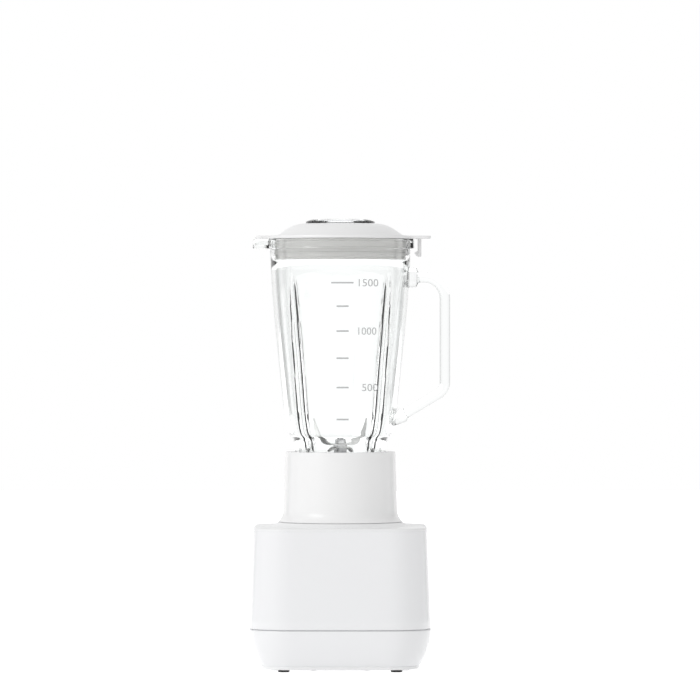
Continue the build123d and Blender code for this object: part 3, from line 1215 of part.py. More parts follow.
def measuring_cap():
    """Clear cap: flange with a raised crest, hollow bowl, open skirt with two lugs."""
    bowl_top = CAP_CREST - 1.5
    bowl_low = CAP_WALL - CAP_BOWL
    drop = bowl_top - bowl_low
    sphere = (CAP_BOWL_RADIUS ** 2 + drop ** 2) / (2 * drop)
    centre = bowl_low + sphere
    inner = CAP_BODY_RADIUS - CAP_WALL
    outer_sphere = sphere + CAP_WALL
    join = centre - math.sqrt(outer_sphere ** 2 - inner ** 2)
    half = CAP_BOWL_RADIUS / 2
    dish = ThreePointArc(
        (0, bowl_low), (half, centre - math.sqrt(sphere ** 2 - half ** 2)), (CAP_BOWL_RADIUS, bowl_top)
    )
    crest = Bezier(
        (CAP_BOWL_RADIUS, bowl_top), (CAP_BOWL_RADIUS + 3.0, CAP_CREST + 0.8),
        (CAP_FLANGE_RADIUS - 4.0, CAP_CREST), (CAP_FLANGE_RADIUS, CAP_FLANGE),
    )
    belly = ThreePointArc(
        (inner, join), (inner / 2, centre - math.sqrt(outer_sphere ** 2 - inner ** 2 / 4)),
        (0, centre - outer_sphere),
    )
    outline = [
        dish, crest, Line((CAP_FLANGE_RADIUS, CAP_FLANGE), (CAP_FLANGE_RADIUS, 0)),
        Line((CAP_FLANGE_RADIUS, 0), (CAP_BODY_RADIUS, 0)),
        Line((CAP_BODY_RADIUS, 0), (CAP_BODY_RADIUS, -CAP_DEPTH)),
        Line((CAP_BODY_RADIUS, -CAP_DEPTH), (inner, -CAP_DEPTH)),
        Line((inner, -CAP_DEPTH), (inner, join)), belly, Line((0, centre - outer_sphere), (0, bowl_low)),
    ]
    body = revolved(outline)
    lug = ring(CAP_BODY_RADIUS + LUG_REACH, inner, -CAP_DEPTH + 1.0, LUG_HEIGHT)
    body += lug & block(4 * CAP_BODY_RADIUS, LUG_WIDTH, -CAP_DEPTH, CAP_DEPTH)
    slot = block(CAP_SLOT, 4 * CAP_BODY_RADIUS, -CAP_DEPTH / 2 - 1.0, CAP_SLOT)
    for turn in (-CAP_SLOT_ANGLE, CAP_SLOT_ANGLE):
        body -= Rot(0, 0, turn) * (slot - ring(inner - 1.0, 0, -CAP_DEPTH, CAP_DEPTH))
    return Pos(0, 0, CAP_BOTTOM) * body


NODES = {
    "bottom_cover": bottom_cover,
    "feet": feet,
    "cover_screws": cover_screws,
    "base_skirt": base_skirt,
    "base_housing": base_housing,
    "dial_recess": dial_recess,
    "rotary_switch": rotary_switch,
    "knob_spindle": knob_spindle,
    "speed_knob": speed_knob,
    "cord_inlet": cord_inlet,
    "terminal_block": terminal_block,
    "top_deck": top_deck,
    "splash_seal": splash_seal,
    "upper_bracket": upper_bracket,
    "lower_bracket": lower_bracket,
    "upper_bearing": lambda: bearing(UPPER_BEARING_Z),
    "lower_bearing": lambda: bearing(LOWER_BEARING_Z),
    "stator_core": stator_core,
    "field_coils": field_coils,
    "brush_holders": brush_holders,
    "carbon_brushes": carbon_brushes,
    "motor_mounts": motor_mounts,
    "motor_screws": motor_screws,
    "motor_shaft": motor_shaft,
    "armature_core": armature_core,
    "armature_windings": armature_windings,
    "commutator": commutator,
    "cooling_fan": cooling_fan,
    "drive_coupler": drive_coupler,
    "blade_collar": blade_collar,
    "jug_seal": jug_seal,
    "bearing_sleeve": bearing_sleeve,
    "upper_bush": lambda: blade_bush(SLEEVE_TOP - SHAFT_SEAL_HEIGHT - BUSH_HEIGHT),
    "lower_bush": lambda: blade_bush(SLEEVE_BOTTOM),
    "shaft_seal": shaft_seal,
    "blade_shaft": blade_shaft,
    "lower_blade": lower_blade,
    "blade_washer": blade_washer,
    "upper_blade": upper_blade,
    "blade_nut": blade_nut,
    "drive_socket": drive_socket,
    "glass_jug": glass_jug,
    "jug_handle": jug_handle,
    "volume_marks": volume_marks,
    "lid": lid,
    "lid_gasket": lid_gasket,
    "measuring_cap": measuring_cap,
}

os.makedirs("parts", exist_ok=True)
for name, make in NODES.items():
    export_step(make(), "parts/" + name + ".step")
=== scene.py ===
"""Looks of a countertop blender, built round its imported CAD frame."""

import logging
import math
from dataclasses import dataclass, field
from enum import Enum
from typing import Callable, Iterable, Sequence

import bmesh
import bpy
from mathutils import Matrix, Vector

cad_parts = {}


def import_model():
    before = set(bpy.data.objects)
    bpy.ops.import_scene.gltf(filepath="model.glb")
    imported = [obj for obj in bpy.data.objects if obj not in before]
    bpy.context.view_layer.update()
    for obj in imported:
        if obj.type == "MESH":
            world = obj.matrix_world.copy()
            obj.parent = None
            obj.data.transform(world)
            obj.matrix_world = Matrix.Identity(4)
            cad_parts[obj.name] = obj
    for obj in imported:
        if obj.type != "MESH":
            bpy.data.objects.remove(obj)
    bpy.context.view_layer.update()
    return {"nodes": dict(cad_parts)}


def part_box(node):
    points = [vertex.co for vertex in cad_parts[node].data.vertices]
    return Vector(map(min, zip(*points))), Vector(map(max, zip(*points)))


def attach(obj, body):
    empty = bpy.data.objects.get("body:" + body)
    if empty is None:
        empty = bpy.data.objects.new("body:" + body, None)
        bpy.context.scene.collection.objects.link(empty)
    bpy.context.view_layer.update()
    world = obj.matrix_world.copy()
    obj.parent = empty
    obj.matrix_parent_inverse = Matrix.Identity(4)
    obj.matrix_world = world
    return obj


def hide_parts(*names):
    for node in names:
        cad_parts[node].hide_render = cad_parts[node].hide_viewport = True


LOG = logging.getLogger("blender")
MM = 0.001
Outline = Sequence[tuple[float, float]]

ROUGH_SPAN = (0.3, 0.75)  # where the grain's roughness output mostly lies
COAT_ROUGHNESS = 0.08
SOFT_DEPTH = 4 * MM  # how deep light goes into silicone
CLEAR_DEPTH = 0.4 * MM  # depth of the waves in clear parts
CLEAR_UNEVEN = 0.012  # change of roughness over clear parts
PAINTED_EDGE_SHADE_BLEND = 0.4  # how far in from a clear part's edge the painted shade reaches
PRINT_DEPTH = 0.16 * MM
PRINT_LIFT = 0.02 * MM


# --- meshes ---------------------------------------------------------------------------
def low(node: str) -> Vector:
    """Lowest corner of a CAD node."""
    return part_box(node)[0]


def high(node: str) -> Vector:
    """Highest corner of a CAD node."""
    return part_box(node)[1]


def arc(centre: tuple[float, float], radius: float, start: float, end: float, steps: int) -> list:
    """Points of an arc in a plane.

    Args:
        centre: the arc's centre.
        radius: its radius.
        start: first angle in degrees.
        end: last angle in degrees.
        steps: number of segments.

    Returns:
        The points, both ends included.
    """
    turns = [math.radians(start + (end - start) * k / steps) for k in range(steps + 1)]
    return [(centre[0] + radius * math.cos(t), centre[1] + radius * math.sin(t)) for t in turns]


def smooth_line(points: Outline, per_span: int) -> list[tuple[float, float]]:
    """Curve through points, as a Catmull-Rom spline.

    Args:
        points: places that the curve passes.
        per_span: segments between two neighbours.

    Returns:
        The curve's points, both ends included.
    """
    ends = [tuple(2 * a - b for a, b in zip(points[0], points[1]))]
    tail = [tuple(2 * a - b for a, b in zip(points[-1], points[-2]))]
    chain = ends + list(points) + tail
    curve = []
    for p0, p1, p2, p3 in zip(chain, chain[1:], chain[2:], chain[3:]):
        for k in range(per_span):
            t = k / per_span
            curve.append(tuple(
                0.5 * (2 * b + (c - a) * t + (2 * a - 5 * b + 4 * c - d) * t * t
                       + (3 * b - a - 3 * c + d) * t ** 3)
                for a, b, c, d in zip(p0, p1, p2, p3)
            ))
    return curve + [tuple(points[-1])]


def bezier(corners: Outline, steps: int) -> list[tuple[float, float]]:
    """Cubic curve over four control points.

    Args:
        corners: its two ends with the two handles between them.
        steps: number of segments.

    Returns:
        The curve's points, both ends included.
    """
    points = []
    for k in range(steps + 1):
        t = k / steps
        weights = ((1 - t) ** 3, 3 * t * (1 - t) ** 2, 3 * t * t * (1 - t), t ** 3)
        points.append(tuple(sum(w * corner[axis] for w, corner in zip(weights, corners)) for axis in (0, 1)))
    return points


def rounded(points: Outline, radius: float, steps: int = 4) -> list[tuple[float, float]]:
    """Closed outline with each corner rounded.

    Args:
        points: the corners in order.
        radius: rounding, made smaller where a side is short.
        steps: segments for each corner.

    Returns:
        The rounded outline.
    """
    result = []
    count = len(points)
    for k, corner in enumerate(points):
        here = Vector(corner)
        before = Vector(points[k - 1]) - here
        after = Vector(points[(k + 1) % count]) - here
        reach = min(radius, before.length * 0.45, after.length * 0.45)
        start = here + before.normalized() * reach
        end = here + after.normalized() * reach
        for step in range(steps + 1):
            t = step / steps
            point = start * (1 - t) ** 2 + here * 2 * t * (1 - t) + end * t * t
            result.append((point.x, point.y))
    return result


def turned(outline: Outline, steps: int = 128, closed: bool = True) -> bmesh.types.BMesh:
    """Surface of revolution about Z.

    Args:
        outline: (radius, height) points.
        steps: segments round the axis.
        closed: whether the outline returns to its start.

    Returns:
        The mesh, with its normals pointing out.
    """
    bm = bmesh.new()
    verts = [bm.verts.new((radius, 0.0, height)) for radius, height in outline]
    pairs = list(zip(verts, verts[1:])) + ([(verts[-1], verts[0])] if closed else [])
    edges = [bm.edges.new(pair) for pair in pairs]
    bmesh.ops.spin(
        bm, geom=verts + edges, cent=(0, 0, 0), axis=(0, 0, 1), dvec=(0, 0, 0),
        angle=math.tau, steps=steps, use_merge=True, use_duplicate=False,
    )
    bmesh.ops.remove_doubles(bm, verts=bm.verts, dist=1e-7)
    bmesh.ops.recalc_face_normals(bm, faces=bm.faces)
    return bm


def prism(outline: Outline, bottom: float, top: float) -> bmesh.types.BMesh:
    """Upright prism.

    Args:
        outline: closed (x, y) outline.
        bottom: level of its foot.
        top: level of its head.

    Returns:
        The closed mesh.
    """
    bm = bmesh.new()
    face = bm.faces.new([bm.verts.new((x, y, bottom)) for x, y in outline])
    grown = bmesh.ops.extrude_face_region(bm, geom=[face])["geom"]
    verts = [v for v in grown if isinstance(v, bmesh.types.BMVert)]
    bmesh.ops.translate(bm, verts=verts, vec=(0, 0, top - bottom))
    bmesh.ops.recalc_face_normals(bm, faces=bm.faces)
    return bm


def box(size: Sequence[float], centre: Sequence[float], rounding: float = 0.0) -> bmesh.types.BMesh:
    """Block with softly rounded edges.

    Args:
        size: its length along each axis.
        centre: its middle.
        rounding: radius of its edges.

    Returns:
        The closed mesh.
    """
    bm = bmesh.new()
    place = Matrix.Translation(centre) @ Matrix.Diagonal((*size, 1))
    bmesh.ops.create_cube(bm, size=1.0, matrix=place)
    if rounding:
        soften(bm, bm.edges[:], rounding, 3)
    return bm


def soften(bm: bmesh.types.BMesh, edges: list, width: float, segments: int = 2) -> None:
    """Rounds edges.

    Args:
        bm: the mesh.
        edges: its edges to round.
        width: width of the rounding.
        segments: its number of steps.
    """
    bmesh.ops.bevel(
        bm, geom=edges, offset=width, offset_type="OFFSET", segments=segments, profile=0.5,
        affect="EDGES", material=-1, clamp_overlap=True,
    )


def sharp_edges(bm: bmesh.types.BMesh, degrees: float = 40.0) -> list:
    """Edges between faces that meet at more than an angle in degrees."""
    limit = math.radians(degrees)
    return [e for e in bm.edges if len(e.link_faces) == 2 and e.calc_face_angle(0.0) > limit]


def lofted(rings: Sequence[Sequence[Sequence[float]]], cap: bool = True) -> bmesh.types.BMesh:
    """Skin over closed rings of points.

    Args:
        rings: one list of 3-D points for each ring, all of the same length.
        cap: whether the first and last rings are filled; otherwise they are joined.

    Returns:
        The mesh, with its normals pointing out.
    """
    bm = bmesh.new()
    loops = []
    for ring in rings:
        verts = [bm.verts.new(point) for point in ring]
        loops.append([bm.edges.new((a, b)) for a, b in zip(verts, verts[1:] + verts[:1])])
    for one, two in zip(loops, loops[1:] + ([] if cap else loops[:1])):
        bmesh.ops.bridge_loops(bm, edges=one + two)
    if cap:
        for loop in (loops[0], loops[-1]):
            bmesh.ops.edgeloop_fill(bm, edges=loop)
    bmesh.ops.recalc_face_normals(bm, faces=bm.faces)
    return bm


def merged(parts: Iterable[bmesh.types.BMesh]) -> bmesh.types.BMesh:
    """Several meshes as one.

    Args:
        parts: the meshes, which are freed.

    Returns:
        The joint mesh.
    """
    whole = bmesh.new()
    for part in parts:
        mesh = bpy.data.meshes.new("part")
        part.to_mesh(mesh)
        whole.from_mesh(mesh)
        part.free()
        bpy.data.meshes.remove(mesh)
    return whole


def moved(bm: bmesh.types.BMesh, matrix: Matrix) -> bmesh.types.BMesh:
    """The same mesh after a rigid move."""
    bmesh.ops.transform(bm, matrix=matrix, verts=bm.verts)
    return bm


def spun_copies(make: Callable[[], bmesh.types.BMesh], count: int, first: float = 0.0) -> list:
    """Copies of a mesh evenly round the Z axis, the first turned by some degrees."""
    turns = [math.radians(first + 360.0 * k / count) for k in range(count)]
    return [moved(make(), Matrix.Rotation(turn, 4, "Z")) for turn in turns]


def copied(node: str) -> bmesh.types.BMesh:
    """Copy of a CAD node's mesh with its triangles joined up.

    Args:
        node: the node's name.

    Returns:
        The copy, with its flat faces made whole.
    """
    bm = bmesh.new()
    bm.from_mesh(bpy.data.objects[node].data)
    bmesh.ops.remove_doubles(bm, verts=bm.verts, dist=2e-6)
    bmesh.ops.dissolve_limit(bm, angle_limit=math.radians(0.2), verts=bm.verts, edges=bm.edges)
    return bm


def shade(bm: bmesh.types.BMesh, degrees: float) -> None:
    """Marks a mesh smooth but for its sharp edges.

    Args:
        bm: the mesh.
        degrees: faces that meet at more than this angle keep a sharp edge.
    """
    for face in bm.faces:
        face.smooth = True
    for edge in bm.edges:
        edge.smooth = edge.calc_face_angle(math.pi) < math.radians(degrees)


def reworked(obj: bpy.types.Object, change: Callable[[bmesh.types.BMesh], object]) -> None:
    """Runs one change on a piece's mesh.

    Args:
        obj: the piece.
        change: what is done to its mesh.
    """
    bm = bmesh.new()
    bm.from_mesh(obj.data)
    change(bm)
    bm.to_mesh(obj.data)
    bm.free()


def piece(name: str, bm: bmesh.types.BMesh, smooth_angle: float = 38.0) -> bpy.types.Object:
    """Object at the origin from a mesh, smooth but for its sharp edges.

    Args:
        name: the piece's name.
        bm: its mesh, which is freed.
        smooth_angle: faces that meet at more than this angle keep a sharp edge.

    Returns:
        The new object, linked to the scene.
    """
    shade(bm, smooth_angle)
    mesh = bpy.data.meshes.new(name)
    bm.to_mesh(mesh)
    bm.free()
    obj = bpy.data.objects.new(name, mesh)
    bpy.context.scene.collection.objects.link(obj)
    return obj


def cut(obj: bpy.types.Object, cutter: bmesh.types.BMesh, operation: str = "DIFFERENCE") -> None:
    """Applies one boolean to a piece.

    Args:
        obj: the piece.
        cutter: the other solid, which is freed.
        operation: DIFFERENCE, UNION or INTERSECT.
    """
    tool = piece("cutter", cutter)
    modifier = obj.modifiers.new("cut", "BOOLEAN")
    modifier.operation = operation
    modifier.solver = "EXACT"
    modifier.object = tool
    bpy.context.view_layer.update()
    graph = bpy.context.evaluated_depsgraph_get()
    shaped = bpy.data.meshes.new_from_object(obj.evaluated_get(graph))
    obj.modifiers.clear()
    old = obj.data
    obj.data = shaped
    bpy.data.meshes.remove(old)
    bpy.data.objects.remove(tool)
    shaped.name = obj.name


def set_smooth(obj: bpy.types.Object, degrees: float) -> None:
    """Shades a finished mesh smooth but for edges sharper than an angle."""
    reworked(obj, lambda bm: shade(bm, degrees))


# --- node groups shared by several finishes -------------------------------------------------
class Grain(Enum):
    """The fine surface textures that a finish can have."""

    MOULDED = "moulded_skin"
    BRUSHED = "brushed_lines"
    CAST = "cast_skin"


def new_group(name: str, inputs: dict[str, float], outputs: Sequence[str]) -> bpy.types.ShaderNodeTree:
    """Empty shader group.

    Args:
        name: the group's name.
        inputs: value inputs with their defaults.
        outputs: names of the value outputs.

    Returns:
        The group with its interface and its two end nodes.
    """
    group = bpy.data.node_groups.new(name, "ShaderNodeTree")
    for label, default in inputs.items():
        socket = group.interface.new_socket(label, in_out="INPUT", socket_type="NodeSocketFloat")
        socket.default_value = default
    for label in outputs:
        group.interface.new_socket(label, in_out="OUTPUT", socket_type="NodeSocketFloat")
    group.nodes.new("NodeGroupInput").name = "in"
    group.nodes.new("NodeGroupOutput").name = "out"
    return group


def add_noise(tree: bpy.types.NodeTree, vector: bpy.types.NodeSocket, scale: float, detail: float,
              roughness: float = 0.5) -> bpy.types.NodeSocket:
    """Noise on a vector.

    Args:
        tree: the node tree.
        vector: where the noise is read.
        scale: its scale.
        detail: its number of octaves.
        roughness: weight of the finer octaves.

    Returns:
        Its value output.
    """
    noise = tree.nodes.new("ShaderNodeTexNoise")
    noise.inputs["Scale"].default_value = scale
    noise.inputs["Detail"].default_value = detail
    noise.inputs["Roughness"].default_value = roughness
    tree.links.new(vector, noise.inputs["Vector"])
    return noise.outputs["Fac"]


def add_math(tree: bpy.types.NodeTree, operation: str,
             *values: bpy.types.NodeSocket | float) -> bpy.types.NodeSocket:
    """Math node.

    Args:
        tree: the node tree.
        operation: what it works out.
        *values: sockets or numbers for its inputs.

    Returns:
        Its output.
    """
    node = tree.nodes.new("ShaderNodeMath")
    node.operation = operation
    for k, value in enumerate(values):
        if isinstance(value, (int, float)):
            node.inputs[k].default_value = value
        else:
            tree.links.new(value, node.inputs[k])
    return node.outputs[0]


def object_vector(tree: bpy.types.NodeTree, stretch: Sequence[float] = (1, 1, 1)) -> bpy.types.NodeSocket:
    """Object coordinates, stretched along the axes.

    Args:
        tree: the node tree.
        stretch: scale along each axis.

    Returns:
        The vector output.
    """
    place = tree.nodes.new("ShaderNodeTexCoord")
    mapping = tree.nodes.new("ShaderNodeMapping")
    mapping.inputs["Scale"].default_value = stretch
    tree.links.new(place.outputs["Object"], mapping.inputs["Vector"])
    return mapping.outputs["Vector"]


def grain_group(grain: Grain) -> bpy.types.ShaderNodeTree:
    """Group that puts out a fine height, a roughness change and a slow tone drift.

    Args:
        grain: which texture it makes.

    Returns:
        The group, built on its first use.
    """
    if grain.value in bpy.data.node_groups:
        return bpy.data.node_groups[grain.value]
    tree = new_group(grain.value, {"Fine": 900.0, "Drift": 9.0}, ("Height", "Rough", "Tone"))
    start, end = tree.nodes["in"], tree.nodes["out"]
    stretch = {Grain.MOULDED: (1, 1, 1), Grain.BRUSHED: (1, 1, 0.03), Grain.CAST: (1, 1, 1)}[grain]
    vector = object_vector(tree, stretch)
    fine = tree.nodes.new("ShaderNodeTexNoise")
    fine.inputs["Detail"].default_value = 3.0 if grain is Grain.MOULDED else 6.0
    tree.links.new(vector, fine.inputs["Vector"])
    tree.links.new(start.outputs["Fine"], fine.inputs["Scale"])
    slow = tree.nodes.new("ShaderNodeTexNoise")
    slow.inputs["Detail"].default_value = 2.0
    tree.links.new(object_vector(tree), slow.inputs["Vector"])
    tree.links.new(start.outputs["Drift"], slow.inputs["Scale"])
    height = fine.outputs["Fac"]
    if grain is Grain.CAST:
        pits = tree.nodes.new("ShaderNodeTexVoronoi")
        pits.inputs["Scale"].default_value = 1400.0
        tree.links.new(vector, pits.inputs["Vector"])
        height = add_math(tree, "ADD", height, add_math(tree, "MULTIPLY", pits.outputs["Distance"], 0.6))
    smudge = add_noise(tree, object_vector(tree), 38.0, 4.0, 0.65)
    rough = add_math(tree, "MULTIPLY_ADD", smudge, 0.5, add_math(tree, "MULTIPLY", height, 0.5))
    tree.links.new(height, end.inputs["Height"])
    tree.links.new(rough, end.inputs["Rough"])
    tree.links.new(slow.outputs["Fac"], end.inputs["Tone"])
    return tree


def add_mix(tree: bpy.types.NodeTree, factor: bpy.types.NodeSocket, one: Sequence[float],
            two: Sequence[float]) -> bpy.types.NodeSocket:
    """Blend of two colours.

    Args:
        tree: the node tree.
        factor: share of the second colour.
        one: the first colour.
        two: the second colour.

    Returns:
        The colour output.
    """
    mix = tree.nodes.new("ShaderNodeMix")
    mix.data_type = "RGBA"
    mix.inputs[6].default_value = (*one, 1.0)
    mix.inputs[7].default_value = (*two, 1.0)
    tree.links.new(factor, mix.inputs[0])
    return mix.outputs[2]


def add_range(tree: bpy.types.NodeTree, value: bpy.types.NodeSocket, target: bpy.types.NodeSocket,
              before: Sequence[float], after: Sequence[float]) -> None:
    """Feeds a value to a socket, moved from one range to another.

    Args:
        tree: the node tree.
        value: what is moved.
        target: the socket that it feeds.
        before: the range that it has.
        after: the range that it gets.
    """
    node = tree.nodes.new("ShaderNodeMapRange")
    for label, number in zip(("From Min", "From Max", "To Min", "To Max"), (*before, *after)):
        node.inputs[label].default_value = number
    tree.links.new(value, node.inputs["Value"])
    tree.links.new(node.outputs["Result"], target)


def add_grain(tree: bpy.types.NodeTree, grain: Grain, fine: float, strength: float,
              depth: float) -> bpy.types.Node:
    """Grain with its bump on the shader of a material.

    Args:
        tree: the material's tree.
        grain: which texture it is.
        fine: its scale.
        strength: strength of its bump.
        depth: its depth in metres.

    Returns:
        The group's node.
    """
    group = tree.nodes.new("ShaderNodeGroup")
    group.node_tree = grain_group(grain)
    group.inputs["Fine"].default_value = fine
    bump = tree.nodes.new("ShaderNodeBump")
    bump.inputs["Strength"].default_value = strength
    bump.inputs["Distance"].default_value = depth
    tree.links.new(group.outputs["Height"], bump.inputs["Height"])
    tree.links.new(bump.outputs["Normal"], tree.nodes["Principled BSDF"].inputs["Normal"])
    return group


def set_sockets(shader: bpy.types.Node, values: dict[str, object]) -> None:
    """Sets plain values on a node's sockets."""
    for label, value in values.items():
        shader.inputs[label].default_value = value


# --- finishes -------------------------------------------------------------------------------
@dataclass(frozen=True)
class Solid:
    """Opaque finish: plastic, rubber or metal with grain, tone drift and uneven gloss.

    The tones are linear colours; slow noise blends one into the other.
    """

    name: str
    tone: tuple[float, float, float]
    drift: tuple[float, float, float]
    rough: tuple[float, float] = (0.28, 0.36)
    metallic: float = 0.0
    grain: Grain = Grain.MOULDED
    fine: float = 900.0
    bump: float = 0.04
    bump_depth: float = 0.00006
    specular: float = 0.5
    coat: float = 0.0
    sheen: float = 0.0
    anisotropic: float = 0.0
    subsurface: float = 0.0

    def build(self) -> bpy.types.Material:
        """Makes the material, once.

        Returns:
            The material, the same one on every call.
        """
        if self.name in bpy.data.materials:
            return bpy.data.materials[self.name]
        material = bpy.data.materials.new(self.name)
        material.use_nodes = True
        tree = material.node_tree
        shader = tree.nodes["Principled BSDF"]
        group = add_grain(tree, self.grain, self.fine, self.bump, self.bump_depth)
        colour = add_mix(tree, group.outputs["Tone"], self.tone, self.drift)
        tree.links.new(colour, shader.inputs["Base Color"])
        add_range(tree, group.outputs["Rough"], shader.inputs["Roughness"], ROUGH_SPAN, self.rough)
        set_sockets(shader, {
            "Metallic": self.metallic, "Specular IOR Level": self.specular, "Coat Weight": self.coat,
            "Coat Roughness": COAT_ROUGHNESS, "Sheen Weight": self.sheen, "Anisotropic": self.anisotropic,
        })
        if self.subsurface:
            set_sockets(shader, {
                "Subsurface Weight": self.subsurface, "Subsurface Radius": (SOFT_DEPTH,) * 3,
                "Subsurface Scale": 1.0,
            })
        return material


@dataclass(frozen=True)
class Clear:
    """Clear finish: glass or plastic, with faint waviness from its mould and painted shade at edges turned
    away from view.
    """

    name: str
    tint: tuple[float, float, float]
    ior: float
    wave: float
    wave_scale: float
    rough: float = 0.0
    # share of the colour taken away by painted shade at edges turned away from view
    edge: float = 0.0

    def build(self) -> bpy.types.Material:
        """Makes the material, once.

        Returns:
            The material, the same one on every call.
        """
        if self.name in bpy.data.materials:
            return bpy.data.materials[self.name]
        material = bpy.data.materials.new(self.name)
        material.use_nodes = True
        tree = material.node_tree
        shader = tree.nodes["Principled BSDF"]
        set_sockets(shader, {
            "Base Color": (*self.tint, 1.0), "Transmission Weight": 1.0, "Metallic": 0.0, "IOR": self.ior,
        })
        # painted shade: the colour darkens where the surface turns away from view, standing in for the dark
        # edges of thick clear parts
        facing = tree.nodes.new("ShaderNodeLayerWeight")
        facing.inputs["Blend"].default_value = PAINTED_EDGE_SHADE_BLEND
        painted_edge_shade = [value * (1 - self.edge) for value in self.tint]
        colour = add_mix(tree, facing.outputs["Facing"], self.tint, painted_edge_shade)
        tree.links.new(colour, shader.inputs["Base Color"])
        group = add_grain(tree, Grain.MOULDED, self.wave_scale, self.wave, CLEAR_DEPTH)
        rough = (self.rough, self.rough + CLEAR_UNEVEN)
        add_range(tree, group.outputs["Rough"], shader.inputs["Roughness"], (0.0, 1.0), rough)
        return material


WHITE_CASING = Solid("white_casing", (0.83, 0.84, 0.855), (0.80, 0.81, 0.83), (0.30, 0.40), bump=0.05)
# painted light: the casing's white plastic made brighter, standing in for light on the deck, posts and bottom
# plate, which sit in shade
WHITE_DECK_PAINTED_LIGHT = Solid("white_deck_painted_light", (0.93, 0.932, 0.935), (0.90, 0.903, 0.91), (0.26, 0.34), bump=0.04)
WHITE_COLLAR = Solid(
    "white_collar", (0.86, 0.86, 0.865), (0.83, 0.83, 0.84), (0.20, 0.28),
    bump=0.03, coat=0.15,
)
WHITE_LID = Solid("white_lid", (0.92, 0.92, 0.92), (0.89, 0.89, 0.895), (0.26, 0.36), bump=0.04)
DIAL_WHITE = Solid("dial_white", (0.80, 0.81, 0.82), (0.77, 0.78, 0.80), (0.24, 0.32), bump=0.04, coat=0.1)
GASKET = Solid(
    "gasket_silicone", (0.71, 0.70, 0.685), (0.66, 0.65, 0.635), (0.42, 0.56), fine=1400.0, bump=0.07,
    specular=0.35, sheen=0.15, subsurface=0.2,
)
SEAL_WHITE = Solid(
    "seal_silicone", (0.70, 0.70, 0.69), (0.64, 0.64, 0.63), (0.45, 0.6),
    fine=1400.0, bump=0.1,
)
FOOT_RUBBER = Solid(
    "foot_rubber", (0.020, 0.020, 0.021), (0.032, 0.032, 0.033), (0.62, 0.8),
    fine=2200.0, bump=0.25,
)
COUPLER_GREY = Solid(
    "coupler_grey", (0.20, 0.204, 0.21), (0.27, 0.274, 0.28), (0.24, 0.40), fine=1300.0, bump=0.18,
)
BLADE_STEEL = Solid(
    "blade_steel", (0.42, 0.412, 0.40), (0.20, 0.196, 0.19), (0.12, 0.28), metallic=1.0, grain=Grain.BRUSHED,
    fine=1600.0, bump=0.25, bump_depth=0.00004, anisotropic=0.4,
)
TURNED_STEEL = Solid(
    "turned_steel", (0.56, 0.56, 0.56), (0.48, 0.48, 0.49), (0.18, 0.32), metallic=1.0, grain=Grain.BRUSHED,
    fine=2400.0, bump=0.2, bump_depth=0.00004,
)
BRONZE = Solid(
    "sintered_bronze", (0.42, 0.26, 0.13), (0.34, 0.21, 0.11), (0.4, 0.6),
    metallic=1.0, grain=Grain.CAST,
)
IRON = Solid(
    "laminated_iron", (0.16, 0.16, 0.17), (0.11, 0.11, 0.12), (0.4, 0.6),
    metallic=1.0, grain=Grain.BRUSHED,
)
COPPER = Solid(
    "enamelled_copper", (0.48, 0.17, 0.07), (0.40, 0.13, 0.05), (0.25, 0.4),
    metallic=0.8, fine=1500.0, bump=0.4,
)
BRACKET = Solid(
    "cast_bracket", (0.50, 0.50, 0.51), (0.42, 0.42, 0.43), (0.4, 0.6),
    metallic=1.0, grain=Grain.CAST, bump=0.3,
)
BRASS = Solid(
    "pressed_brass", (0.60, 0.42, 0.16), (0.52, 0.36, 0.13), (0.25, 0.4),
    metallic=1.0, grain=Grain.BRUSHED,
)
CARBON = Solid("carbon", (0.018, 0.018, 0.018), (0.03, 0.03, 0.03), (0.5, 0.7), grain=Grain.CAST, bump=0.3)
INNER_PLASTIC = Solid("inner_plastic", (0.05, 0.05, 0.055), (0.07, 0.07, 0.075), (0.4, 0.55), bump=0.1)
PRINT = Solid("scale_print", (0.50, 0.505, 0.51), (0.56, 0.565, 0.57), (0.4, 0.5), bump=0.1)
DIAL_PRINT = Solid("dial_print", (0.10, 0.105, 0.11), (0.13, 0.135, 0.14), (0.4, 0.5), bump=0.1)
# clear finishes; edge sets the painted shade at their edges, strongest on the grip
GLASS = Clear("jug_glass", (0.985, 0.995, 0.992), 1.5, 0.035, 14.0, edge=0.14)
GRIP_GLASS = Clear("grip_glass", (0.975, 0.985, 0.983), 1.5, 0.03, 14.0, edge=0.9)
CAP_PLASTIC = Clear("cap_plastic", (0.98, 0.985, 0.995), 1.5, 0.03, 22.0, edge=0.2)

HIDDEN_FINISHES = {
    "motor_shaft": TURNED_STEEL, "armature_core": IRON, "armature_windings": COPPER, "commutator": COPPER,
    "cooling_fan": INNER_PLASTIC, "stator_core": IRON, "field_coils": COPPER, "upper_bracket": BRACKET,
    "lower_bracket": BRACKET, "upper_bearing": TURNED_STEEL, "lower_bearing": TURNED_STEEL,
    "brush_holders": BRASS, "carbon_brushes": CARBON, "motor_mounts": FOOT_RUBBER,
    "motor_screws": TURNED_STEEL, "cover_screws": TURNED_STEEL, "rotary_switch": INNER_PLASTIC,
    "terminal_block": INNER_PLASTIC, "knob_spindle": TURNED_STEEL, "splash_seal": FOOT_RUBBER,
    "upper_bush": BRONZE, "lower_bush": BRONZE, "bearing_sleeve": TURNED_STEEL, "shaft_seal": FOOT_RUBBER,
    "blade_washer": TURNED_STEEL, "jug_seal": SEAL_WHITE,
}


def dress(obj: bpy.types.Object, finish: Solid | Clear) -> None:
    """Gives an object one finish."""
    obj.data.materials.clear()
    obj.data.materials.append(finish.build())


